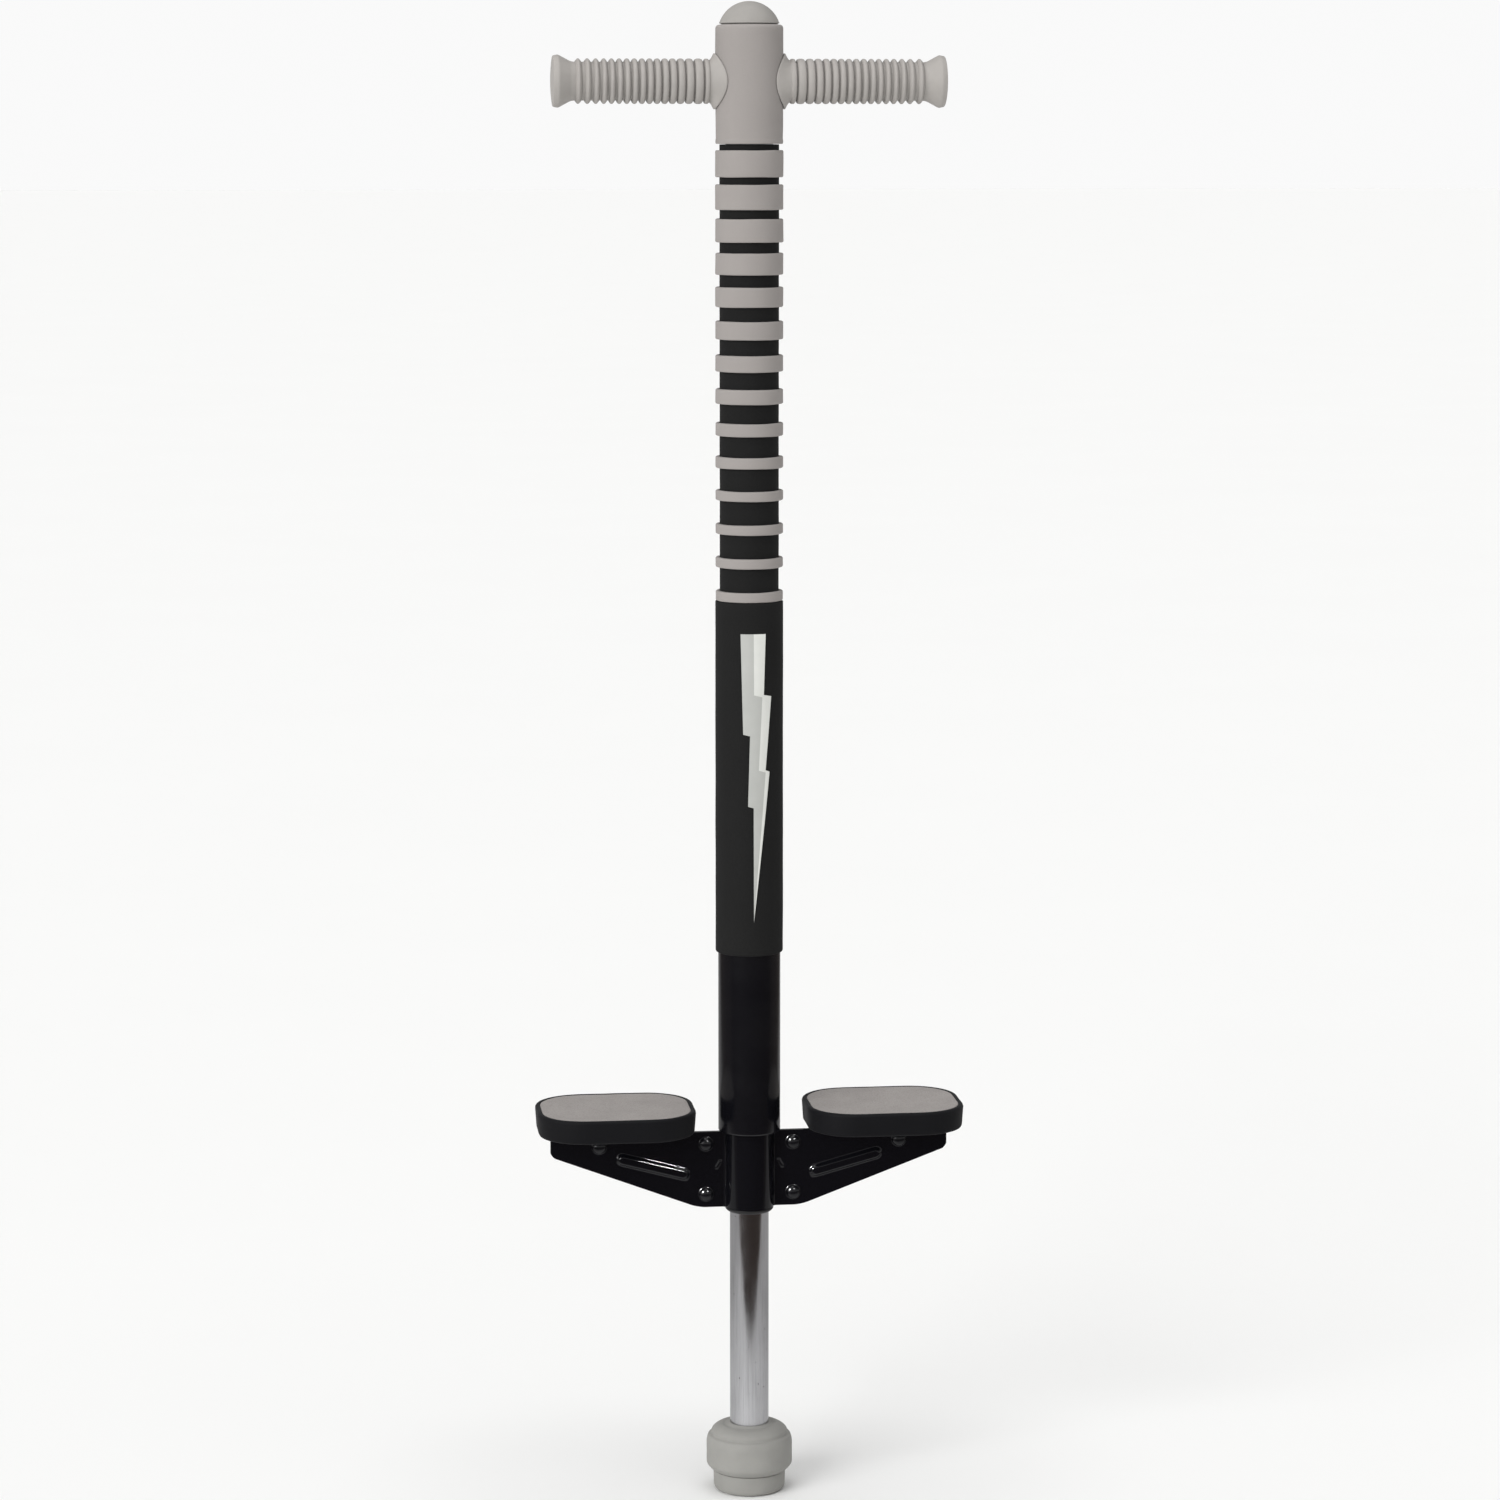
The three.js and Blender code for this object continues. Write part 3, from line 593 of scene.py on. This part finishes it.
def grip_rings(sides=72):
    """Rings of a grip along X: a collar that sits on the round hub, a band, ribs, and a flared end."""
    angles = [2 * math.pi * i / sides for i in range(sides)]

    def ring(radius, place, narrow=1.0):
        """place is a distance from the hub's axis, or gives one for each y."""
        points = []
        for t in angles:
            y = radius * math.cos(t) * narrow
            x = place(y) if callable(place) else place
            points.append((x, y, radius * math.sin(t)))
        return points

    def on_hub(extra):
        return lambda y: math.sqrt((GRIP["saddle"] + extra) ** 2 - y * y)

    def flared(t, widest):
        """Between the collar's edge on the hub, at t = 0, and the band, at t = 1."""
        edge = on_hub(0.9)
        return lambda y: edge(y / widest) * (1 - t) + GRIP["band_inner"] * t

    bore = BAR["radius"] + GAP
    bar_end = BAR["half_length"] + GAP
    collar = GRIP["collar"]
    narrow = GRIP["collar_narrow"]
    valley = GRIP["valley"]
    rings = [[(bar_end, 0, 0)], ring(bore, bar_end), ring(bore, on_hub(0))]
    for inset, extra in ((0.5, 0), (0.12, 0.12), (0, 0.45)):
        rings.append(ring(collar - inset, on_hub(extra), narrow))
    for t in (0.0, 0.12, 0.3, 0.5, 0.7, 0.85, 0.95, 1.0):
        fall = 1 - (1 - t) ** 1.7
        radius = collar - 0.08 + (GRIP["band"] - 0.7 - collar) * fall
        width = narrow + (1 - narrow) * fall
        rings.append(ring(radius, flared(t**0.9, radius * width / (collar * narrow)), width))
    top = GRIP["band"] + 0.05
    band = softened([
        (top - 0.8, GRIP["band_inner"] + 0.1), (top, GRIP["band_inner"] + 0.9, 0.5),
        (top, GRIP["band_outer"] - 0.3, 0.7), (valley, GRIP["band_outer"] + 0.35),
    ], steps=3)
    rings += [ring(r, x) for r, x in band]
    centres = rib_centres()
    pitches = [after - centre for centre, after in zip(centres, centres[1:])]
    pitches.append(pitches[-1])
    for i, (centre, pitch) in enumerate(zip(centres, pitches)):
        rings += [ring(r, x) for r, x in rib_profile(centre, pitch, i / (len(centres) - 1))]
    flare = softened([
        (valley + 0.05, GRIP["flare_start"]), (valley + 0.35, GRIP["flare_start"] + 1.8, 1.2),
        (GRIP["mouth"], GRIP["mouth_at"], 0.9), (GRIP["end_radius"], GRIP["end_at"], 0.5), (0, GRIP["end"]),
    ], steps=6)
    rings += [ring(r, x) for r, x in flare[:-1]]
    start_radius, start = flare[-2]
    for share in (0.8, 0.55, 0.3):  # the end bulges slightly
        rings.append(ring(start_radius * share, GRIP["end"] - (GRIP["end"] - start) * share**2))
    rings.append([(GRIP["end"], 0, 0)])
    return rings


def grips():
    bar_z = bar_height()
    for seed, (name, side) in enumerate((("left", -1), ("right", 1))):
        rings = [[(side * x, y, z + bar_z) for x, y, z in ring] for ring in grip_rings()]
        piece = loft(f"grip_rubber_{name}", rings, sharp=50)
        uneven(piece, amount=0.012, size=16, seed=11 + seed)
        finished(piece, "grey_rubber", "frame", [f"grip_{name}"])


# ---- column ------------------------------------------------------------------------------------


def foam_sleeve():
    """Foam tube: thin between the rings above, thick and plain below, with a soft lower edge."""
    low, high = box_mm("foam_sleeve")
    radius = high.x
    wide = box_mm("spring_housing")[1].x + GAP
    bore = TUBE_RADIUS + GAP
    wide_top = box_mm(f"ring_{RINGS}")[0].z - GAP
    ledge = HOUSING["top"] + GAP
    profile = softened([
        (wide, low.z, 0.2), (radius, low.z, 1.3), (radius, wide_top, 0.8), (GROOVE_RADIUS, wide_top, 0.3),
        (GROOVE_RADIUS, high.z, 0.2), (bore, high.z), (bore, ledge), (wide, ledge),
    ])
    sleeve = turned("sleeve_foam", divided(profile, longest=4))
    uneven(sleeve, amount=0.14, size=26, seed=2)
    return finished(sleeve, "black_foam", "frame", ["foam_sleeve"])


def foam_rings():
    for i in range(1, RINGS + 1):
        node = f"ring_{i:02d}"
        low, high = box_mm(node)
        bore = GROOVE_RADIUS + GAP
        radius = high.x
        profile = softened([
            (bore, low.z, 0.2), (radius, low.z, 1.0), (radius, high.z, 1.0), (bore, high.z, 0.2),
        ], steps=5)
        piece = turned(f"foam_{node}", divided(profile, longest=2.5))
        uneven(piece, amount=0.2, size=15, seed=20 + i)
        finished(piece, "grey_foam", "frame", [node])


def along(path, z):
    """The x on a downward path of (x, z) points at a height."""
    for (x0, z0), (x1, z1) in zip(path, path[1:]):
        if z0 >= z >= z1:
            return x0 + (x1 - x0) * (z0 - z) / (z0 - z1)
    return path[-1][0]


def bolt_graphic():
    """A generic three-step bolt in two shades, split along its fold and wrapped on the sleeve's front."""
    left = [(-7.8, 0), (-6.2, -61), (-2.0, -62), (-3.2, -105), (0.2, -106), (0.4, -176)]
    right = [(7.8, 0), (6.6, -37), (11.8, -38), (7.8, -83), (10.6, -84), (0.4, -176)]
    fold = [(0.2, 0), (0.4, -37), (5.6, -38.4), (3.4, -83), (7.8, -84.4), (0.4, -176)]
    top = box_mm("bolt_graphic")[1].z
    inside = box_mm("foam_sleeve")[1].x + GAP
    even = {-3.0 * i for i in range(59)}  # a row every 3 mm, beside those at the corners
    heights = sorted({z for _, z in left + right + fold} | even, reverse=True)
    columns = 5  # on each side of the fold
    points = []
    for radius in (inside + 0.33, inside):
        for z in heights:
            start, middle, end = (along(path, z) for path in (left, fold, right))
            middle = min(max(middle, start), end)
            across = [start + (middle - start) * k / columns for k in range(columns)]
            across += [middle + (end - middle) * k / columns for k in range(columns + 1)]
            for x in across:
                around = x / radius
                points.append((radius * math.sin(around), -radius * math.cos(around), top + z))
    width = 2 * columns + 1
    layer = width * len(heights)
    faces = []
    light = []
    for row in range(len(heights) - 1):
        for k in range(2 * columns):
            a = row * width + k
            quad = [a, a + width, a + width + 1, a + 1]
            faces += [quad, [layer + p for p in reversed(quad)]]
            light += [k >= columns] * 2
        for k in (0, width - 1):
            a = row * width + k
            faces.append([a, a + layer, a + layer + width, a + width])
            light.append(k > 0)
    for row in (0, len(heights) - 1):
        for k in range(2 * columns):
            a = row * width + k
            faces.append([a, a + layer, a + layer + 1, a + 1])
            light.append(k >= columns)
    piece = make_object("bolt_print", points, faces)
    piece.data.materials.append(MATERIALS["silver_print"])
    piece.data.materials.append(LIGHT_PRINT)
    piece.data.polygons.foreach_set("material_index", [int(v) for v in light])
    return finished(piece, "silver_print", "frame", ["bolt_graphic"])


def spring_housing():
    """The enamelled main tube. A square shoulder closes it in to the neck that guides the piston."""
    low, high = box_mm("spring_housing")
    radius = high.x
    neck = HOUSING["neck"]
    bore = HOUSING["bore"]
    inner = radius - HOUSING_WALL
    corner = HOUSING["corner"]
    floor = HOUSING["shoulder"] + HOUSING_WALL
    profile = [
        (bore + 0.3, low.z), (neck - 0.3, low.z), (neck, low.z + 0.3), (neck, HOUSING["shoulder"]),
        *arc((radius - corner, HOUSING["shoulder"] + corner), corner, corner, -90, 0, 12),
        (radius, high.z - 0.3), (radius - 0.3, high.z), (inner + 0.3, high.z), (inner, high.z - 0.3),
        (inner, floor + 0.4), (inner - 0.4, floor), (bore, floor), (bore, low.z + 0.3),
    ]
    tube = turned("housing_tube", divided(profile, longest=6))
    uneven(tube, amount=0.02, size=30, seed=5)
    return finished(tube, "black_enamel", "frame", ["spring_housing"])


# ---- foot bracket and pedals ---------------------------------------------------------------------


def section_path():
    """The plate's front face seen from above, as (x, y), from the saddle's middle to the wing's tip."""
    radius = PLATE["saddle"]
    face = GAP / 2 + PLATE["thickness"]
    fillet = PLATE["fillet"]
    reach = math.sqrt((radius + fillet) ** 2 - (face + fillet) ** 2)
    turn = math.degrees(math.atan2(face + fillet, reach))
    path = arc((0, 0), radius, radius, -90, -turn, PLATE_GRID["saddle"])
    path += arc((reach, -face - fillet), fillet, fillet, 180 - turn, 90, PLATE_GRID["fillet"])[1:]
    start = path[-1][0]
    wing = PLATE["corner_x"] - start
    steps = math.ceil(wing / PLATE_GRID["wing_step"])
    return path + [(start + wing * i / steps, -face) for i in range(1, steps + 1)]


def eased(t):
    """0 to 1 along a smooth S, held at its ends."""
    t = min(1.0, max(0.0, t))
    return t * t * (3 - 2 * t)


def wing_heights(x):
    """Lowest and highest z of the plate at a distance from the middle, with rounded corners below."""
    past_knee = x - PLATE["flat_half"]
    share = max(0.0, past_knee / (PLATE["corner_x"] - PLATE["flat_half"]))
    knee = max(0.0, 1 - abs(past_knee) / PLATE["knee_reach"])
    tip = max(0.0, 1 - (PLATE["corner_x"] - x) / PLATE["tip_reach"])
    low = PLATE["bottom"] + share * (PLATE["corner_z"] - PLATE["bottom"])
    low += PLATE["knee_cut"] * knee**2 + PLATE["tip_cut"] * tip**2
    step = eased((x - PLATE["platform_inner"]) / PLATE["step_width"] + 0.5)
    return low, PLATE["top"] + (PLATE["platform_top"] - PLATE["top"]) * step


def pressed(x, z):
    """How far the pressed rib and the small gusset stand out of the plate's face at a point."""
    at = Vector((x, z))
    height = 0.0
    for ridge in (RIB, GUSSET):
        a = Vector(ridge["inner"])
        b = Vector(ridge["outer"])
        share = min(1.0, max(0.0, (at - a).dot(b - a) / (b - a).length_squared))
        distance = (at - a.lerp(b, share)).length
        inside = (ridge["half_width"] + PRESS_SOFTNESS / 2 - distance) / PRESS_SOFTNESS
        height = max(height, ridge["height"] * eased(inside))
    return height


def plate_skin():
    """Front and back faces of half a plate, from the middle of the saddle to one wing's tip."""
    rows = PLATE_GRID["rows"]
    front = section_path()
    grids = []
    for depth in (0, PLATE["thickness"]):
        grid = []
        for i, (x, y) in enumerate(front):
            ahead = Vector(front[min(i + 1, len(front) - 1)]) - Vector(front[max(i - 1, 0)])
            inward = Vector((-ahead.y, ahead.x)).normalized() * depth
            if i == 0:
                inward = Vector((0, depth))
            low, high = wing_heights(x)
            column = []
            for row in range(rows + 1):
                z = low + (high - low) * row / rows
                column.append((x + inward.x, min(-GAP / 2, y + inward.y - pressed(x, z)), z))
            grid.append(column)
        grids.append(grid)
    return grids


def plate_half(side):
    """A closed half plate on one side."""
    front, back = plate_skin()
    columns = len(front)
    rows = len(front[0])
    points = [(side * x, y, z) for grid in (front, back) for column in grid for x, y, z in column]
    layer = columns * rows
    faces = []
    for i in range(columns - 1):
        for j in range(rows - 1):
            a = i * rows + j
            quad = [a, a + rows, a + rows + 1, a + 1]
            faces += [quad, [layer + p for p in reversed(quad)]]
    rim = [i * rows for i in range(columns)] + [(columns - 1) * rows + j for j in range(1, rows)]
    rim += [i * rows + rows - 1 for i in range(columns - 2, -1, -1)]
    for a, b in zip(rim, rim[1:]):
        faces.append([a, a + layer, b + layer, b])
    return make_object("half", points, faces)


def prism(name, first, second):
    """A solid between two outlines of as many points each."""
    count = len(first)
    faces = [list(range(count))[::-1], list(range(count, 2 * count))]
    faces += [[i, (i + 1) % count, count + (i + 1) % count, count + i] for i in range(count)]
    return make_object(name, first + second, faces)


def platform(side):
    """The ledge bent out of the plate's top edge, half of the pedal's footprint, with its bend."""
    low, high = box_mm("pedal_rubber_right")
    centre = side * (low.x + high.x) / 2
    inset = PEDAL["skirt"] + GAP
    length = high.x - low.x - 2 * inset
    width = high.y - low.y - 2 * inset
    edge = -GAP / 2
    whole = rounded_rectangle(length, width, PEDAL["corner"] - inset)
    half_loop = sorted((point for point in whole if point[1] < edge - 1), key=lambda point: point[0])
    outline = [(-length / 2, edge), *half_loop, (length / 2, edge)]
    top = PLATE["platform_top"]
    thickness = PLATE["thickness"]
    bottom_loop, top_loop = ([(centre + x, y, z) for x, y in outline] for z in (top - thickness, top))
    radius = PLATE["bend"]
    bend = [(edge - 0.3, top - 0.2)]
    bend += arc((edge - thickness - radius, top - thickness - radius), radius, radius, 0, 90, 6)
    half = length / 2 - 6
    bend_start, bend_end = ([(centre + x, y, z) for y, z in bend] for x in (-half, half))
    return [prism("ledge", bottom_loop, top_loop), prism("bend", bend_start, bend_end)]


def bracket_plates():
    for name, turn in (("front", 0), ("rear", math.pi)):
        piece = joined(f"plate_{name}", [plate_half(1), plate_half(-1), *platform(1), *platform(-1)])
        piece.data.transform(Matrix.Rotation(turn, 4, "Z"))
        piece.data.materials.append(GLOSSY_ENAMEL)
        finished(piece, "black_enamel", "frame", [f"bracket_{name}"])


def rivets():
    """Domed rivets with a small collar under each head."""
    face = GAP / 2 + PLATE["thickness"] + 0.05
    for name in [n for n in frame["nodes"] if n.startswith("rivet_")]:
        low, high = box_mm(name)
        head = high.y - face
        radius = (high.x - low.x) / 2
        dome = arc((0, face + 0.5), radius - 0.5, head - 0.5, 0, 90, 9)
        collar = [(RIVET_SHANK, face), (radius, face), (radius, face + 0.3), (radius - 0.3, face + 0.5)]
        half = collar + dome[:-1]
        profile = [(0, -high.y)] + [(r, -z) for r, z in reversed(half)] + half + [(0, high.y)]
        piece = turned(f"{name}_head", profile, sides=40, closed=False)
        piece.data.transform(Matrix.Rotation(math.pi / 2, 4, "X"))
        centre = (low + high) / 2
        piece.data.transform(Matrix.Translation(Vector((centre.x, 0, centre.z)) * MM))
        piece.data.materials.append(RIVET_ENAMEL)
        finished(piece, "black_enamel", "frame", [name])


def pedal_rings(name, path):
    """The rings through each (inset from the pedal's edge, height), with a pole at both ends.

    Past the corner's radius, a ring is a smaller copy instead of an offset.
    """
    low, high = box_mm(f"pedal_rubber_{name}")
    centre = (low.x + high.x) / 2
    length = high.x - low.x
    width = high.y - low.y
    limit = PEDAL["corner"] - 1.5
    rings = []
    for inset, z in path:
        offset = min(inset, limit)
        share = min(1.0, (width / 2 - inset) / (width / 2 - limit))
        outline = rounded_rectangle(length - 2 * offset, width - 2 * offset, PEDAL["corner"] - offset)
        rings.append([(centre + share * x, share * y, z) for x, y in outline])
    return [[(centre, 0, path[0][1])], *rings, [(centre, 0, path[-1][1])]]


def pedals():
    """Rubber boots with drafted sides and a rolled rim, each round a pebbled tread."""
    skirt = PEDAL["skirt"]
    draft = PEDAL["draft"]
    edge = PEDAL["edge"]
    rim = PEDAL["rim"]
    for seed, name in enumerate(("left", "right")):
        low, high = box_mm(f"pedal_rubber_{name}")
        dish = high.z - PEDAL["recess"]
        pocket = [(skirt, PEDAL["pocket_top"]), (skirt, low.z + 0.4), (skirt - 0.3, low.z)]
        toe = [(draft + 1.6, low.z), (draft + 0.6, low.z + 0.35)]
        wall = [(draft + 0.1, low.z + 1.3), (draft, low.z + 2.2)]
        rolled = arc((edge, high.z - edge), edge, edge, 180, 90, 6)
        lip = [(rim - 0.4, high.z), (rim - 0.1, high.z - 0.12), (rim, high.z - 0.5), (rim, dish)]
        boot = loft(f"pedal_boot_{name}", pedal_rings(name, pocket + toe + wall + rolled + lip), sharp=50)
        uneven(boot, amount=0.14, size=16, seed=30 + seed)
        finished(boot, "black_rubber", "frame", [f"pedal_rubber_{name}"])

        inset = rim + 0.15
        top = high.z - 0.1
        side = [(inset, dish + 0.15), (inset, top - 0.35), (inset + 0.15, top - 0.08)]
        span = (high.y - low.y) / 2 - inset - 2
        face = [(inset + 0.5 + span * i / TREAD_RINGS, top) for i in range(TREAD_RINGS + 1)]
        tread = loft(f"pedal_tread_{name}_pad", pedal_rings(name, side + face), sharp=60)
        uneven(tread, amount=0.12, size=5, seed=40 + seed)
        finished(tread, "grey_tread", "frame", [f"pedal_tread_{name}"])


# ---- piston, foot and spring -----------------------------------------------------------------------


def piston():
    low, high = box_mm("piston_tube")
    radius = high.x
    inner = radius - PISTON_WALL
    profile = divided(softened([
        (inner, low.z, 0.2), (radius, low.z, 0.3), (radius, high.z, 0.3), (inner, high.z, 0.2),
    ], steps=3), longest=8)
    finished(turned("piston_chrome", profile, FINE_ROUND), "chrome", "piston", ["piston_tube"])


def wiper():
    low, high = box_mm("wiper_ring")
    bore = HOUSING["bore"]
    profile = softened([
        (bore, low.z, 0.2), (high.x - 1.5, low.z, 0.7), (high.x, low.z + 1.5, 0.6), (high.x, high.z, 0.2),
        (bore, high.z),
    ])
    finished(turned("wiper_nylon", profile), "black_nylon", "frame", ["wiper_ring"])


def creased(radius, z):
    """A point of the foot's dome, drawn in at the crease: gently above it and sharply below."""
    above = z - FOOT["crease"]
    width = FOOT["crease_above"] if above > 0 else FOOT["crease_below"]
    return radius - FOOT["crease_depth"] * math.exp(-((above / width) ** 2)), z


def rubber_foot():
    """The foot: a fillet round the piston, a creased dome, an undercut step and a rounded sole."""
    high = box_mm("rubber_foot")[1]
    radius = high.x
    bore = box_mm("piston_tube")[1].x + 0.05
    flat = FOOT["flat"]
    shoulder = FOOT["shoulder"]
    step = FOOT["step"]
    sole = FOOT["sole_radius"]
    dome = [creased(r, z) for r, z in arc((flat, shoulder), radius - flat, high.z - shoulder, 0, 84, 80)]
    outer = softened([
        (0, 0), (sole - 0.3, 0, FOOT["sole_edge"]), (sole + 0.15, step - 0.7, 0.4),
        (sole - 0.8, step - 0.35, 0.2), (sole - 0.6, step + 0.1, 0.2), (FOOT["step_radius"], step + 0.1, 0.4),
        (radius, FOOT["wall_bottom"] + 0.4, 1.5), (radius, shoulder),
    ], steps=6)[:-1]
    lip = high.z + FOOT["lip"]
    fillet = softened([dome[-1], (bore + 2.8, high.z - 0.2, 1.2), (bore + 0.25, lip, 0.2), (bore, lip)])
    profile = outer + dome[:-1] + fillet + [(bore, FOOT["floor"]), (0, FOOT["floor"])]
    foot = turned("foot_rubber", profile, FINE_ROUND, closed=False, sharp=48)
    foot.data.materials.append(FOOT_RUBBER)
    finished(foot, "grey_rubber", "piston", ["rubber_foot"])


def main_spring():
    """The coil: a round wire whose first and last turns lie close."""
    low, high = box_mm("main_spring")
    wire = SPRING["wire"] / 2
    turns = SPRING["turns"]
    pitch = SPRING["closed_pitch"]
    bottom = low.z + wire
    top = high.z - wire
    open_pitch = (top - bottom - 2 * pitch) / (turns - 2)
    steps = 32  # sections in a turn
    radius = SPRING["outer"] - wire
    rings = []
    for i in range(turns * steps + 1):
        turn = i / steps
        z = bottom + pitch + (turn - 1) * open_pitch
        if turn < 1:
            z = bottom + turn * pitch
        if turn > turns - 1:
            z = top - (turns - turn) * pitch
        angle = 2 * math.pi * turn
        section = arc((radius, z), wire, wire, 0, 324, 9)  # ten sides, 36 degrees apart
        rings.append([(r * math.cos(angle), r * math.sin(angle), height) for r, height in section])
    spring = loft("spring_coil", [[(radius, 0, bottom)], *rings, [(radius, 0, top)]], sharp=60)
    finished(spring, "steel", "frame", ["main_spring"])
    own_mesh(spring)


# ---- build -----------------------------------------------------------------------------------------

handle_hub()
top_cap()
grips()
foam_sleeve()
foam_rings()
bolt_graphic()
spring_housing()
bracket_plates()
rivets()
pedals()
piston()
wiper()
rubber_foot()
main_spring()

HIDDEN = {  # CAD pieces that keep their shapes
    "black_enamel": ["handlebar_tube"],
    "black_rubber": ["rebound_bumper"],
    "black_nylon": ["guide_bushing"],
    "steel": ["upper_tube", "tube_reducer", "spring_stop_pin", "spring_top_washer", "spring_seat",
              "piston_head", "foot_washer"],
}
for slot_name, nodes in HIDDEN.items():
    for node_name in nodes:
        materials = frame["nodes"][node_name].data.materials
        materials.clear()
        materials.append(MATERIALS[slot_name])

# ---- stage, light and camera, with sizes in metres -------------------------------------------------

# Painted light: the centre of the paper's pool of light, and the distances in metres where its fading starts
# and ends.
PAPER_LIGHT_POOL = {"centre": (-0.08, -0.14, 0), "full": 0.05, "gone": 0.55}  # the brightest part of the paper


def square(half):
    return [(-half, -half), (half, -half), (half, half), (-half, half)]


def flat_sheet(name, outline, z, middle, outside):
    """A level sheet, of one shade just in front of the foot that fades to another further out; on the paper
    this paints a pool of light.
    """
    mesh = bpy.data.meshes.new(name)
    mesh.from_pydata([(x, y, z) for x, y in outline], [], [list(range(len(outline)))])
    f = Finish(name, Roughness=0.9, Specular_IOR_Level=0.1)
    places = {0: f.place, 1: PAPER_LIGHT_POOL["centre"]}
    distance = f.add("ShaderNodeVectorMath", places, operation="DISTANCE").outputs["Value"]
    painted_falloff = f.mixed(f.between(distance, PAPER_LIGHT_POOL["full"], PAPER_LIGHT_POOL["gone"], 0.0, 1.0), middle, outside)
    f.paint(f.mixed(f.between(f.noise(400, 3), 0.3, 0.7, 0.0, 0.03), painted_falloff, shade(outside, 0.8)))
    mesh.materials.append(f.material)
    sheet = add_object(name, mesh)
    return sheet


def reflected_sheet(name, outline, level, middle, outside):
    """A sheet laid over the floor that only reflections see."""
    sheet = flat_sheet(name, outline, level * SHEET_STEP, middle, outside)
    sheet.visible_camera = False
    sheet.visible_diffuse = False
    sheet.visible_shadow = False


def soft_lamp(name, azimuth, elevation, strength, spread):
    """An even light of that spread from a direction, in degrees: azimuth 0 is the front and 90 the right."""
    data = bpy.data.lights.new(name, "SUN")
    data.energy = strength
    data.angle = math.radians(spread)
    lamp = add_object(name, data)
    lamp.rotation_euler = (math.radians(90 - elevation), 0, math.radians(azimuth))
    lamp.location = (0, 0, 3)
    return lamp


def world_light(low, horizon, fade_start=0.05, fade_end=0.25):
    """Even soft light, with a bright band at the horizon that the pale floor runs into."""
    world = bpy.data.worlds.new("studio")
    world.use_nodes = True
    bpy.context.scene.world = world
    tree = world.node_tree
    place = tree.nodes.new("ShaderNodeTexCoord").outputs["Generated"]
    split = tree.nodes.new("ShaderNodeSeparateXYZ")
    tree.links.new(place, split.inputs[0])
    ramp = tree.nodes.new("ShaderNodeMapRange")
    tree.links.new(split.outputs["Z"], ramp.inputs[0])
    for index, value in ((1, fade_start), (2, fade_end), (3, horizon), (4, low)):
        ramp.inputs[index].default_value = value
    background = tree.nodes["Background"]
    background.inputs["Color"].default_value = (1.0, 1.0, 1.0, 1.0)
    tree.links.new(ramp.outputs[0], background.inputs["Strength"])


# The paper is painted with a pool of light, brightest in front of the foot and darker further out, and dark
# sheets round it paint the room's shade. Only reflections see them.
PAPER = {"front": -0.355, "front_half": 0.38, "back_half": 1.0, "cut": -0.085, "far": 4.0}
WHITE = seen(246, 246, 245)
# Painted shade for reflections: the room's sheets are dark in front and a little lighter at the sides.
PAINTED_ROOM_SHADE_FRONT = seen(55, 46, 42)
PAINTED_ROOM_SHADE_SIDE = seen(96, 88, 84)
SHEET_STEP = 0.001
front = PAPER["front"]
back_half = PAPER["back_half"]
far = PAPER["far"]
flat_sheet("floor", square(60), 0.0, WHITE, WHITE)
# Painted light: the paper fades from near white in front of the foot to grey further out.
reflected_sheet("paper", square(far), 1, seen(250, 250, 250), seen(179, 178, 178))
across = [(-far, -far), (far, -far), (far, front), (-far, front)]
reflected_sheet("room_front", across, 2, PAINTED_ROOM_SHADE_FRONT, PAINTED_ROOM_SHADE_FRONT)
beside = [(PAPER["front_half"], front), (back_half, PAPER["cut"]), (back_half, far), (far, far), (far, front)]
for side_name, side in (("left", -1), ("right", 1)):
    reflected_sheet(f"room_{side_name}", [(side * x, y) for x, y in beside], 2, PAINTED_ROOM_SHADE_SIDE, PAINTED_ROOM_SHADE_SIDE)

world_light(low=0.32, horizon=0.953)
soft_lamp("key", azimuth=-45, elevation=22, strength=1.88, spread=40)
soft_lamp("top", azimuth=0, elevation=84, strength=1.55, spread=60)

# Two small lamps put glints on the bracket's plates and rivets, and light nothing else.
GLINTS = {"glint_left": (-38, 22, 12), "glint_right": (19, 28, 1.8)}  # azimuth, elevation, strength
glossy = bpy.data.collections.new("glossy")
for piece in bpy.context.scene.objects:
    if piece.name.startswith(("plate_", "rivet_")):
        glossy.objects.link(piece)
for glint_name, (azimuth, elevation, strength) in GLINTS.items():
    glint = soft_lamp(glint_name, azimuth, elevation, strength, spread=3)
    glint.visible_diffuse = False
    glint.light_linking.receiver_collection = glossy

CAMERA = {"distance": 2.6, "azimuth": -6.8, "aim": -6.81, "height": 0.838, "pitch": 8.17, "lens": 103.5}

camera_data = bpy.data.cameras.new("camera")
camera_data.lens = CAMERA["lens"]
camera_data.sensor_width = 36
camera = add_object("camera", camera_data)
bearing = math.radians(CAMERA["azimuth"])
camera.location = (
    CAMERA["distance"] * math.sin(bearing), -CAMERA["distance"] * math.cos(bearing), CAMERA["height"],
)
camera.rotation_euler = (math.radians(90 - CAMERA["pitch"]), 0, math.radians(CAMERA["aim"]))
bpy.context.scene.camera = camera
bpy.context.scene.view_settings.view_transform = "Standard"
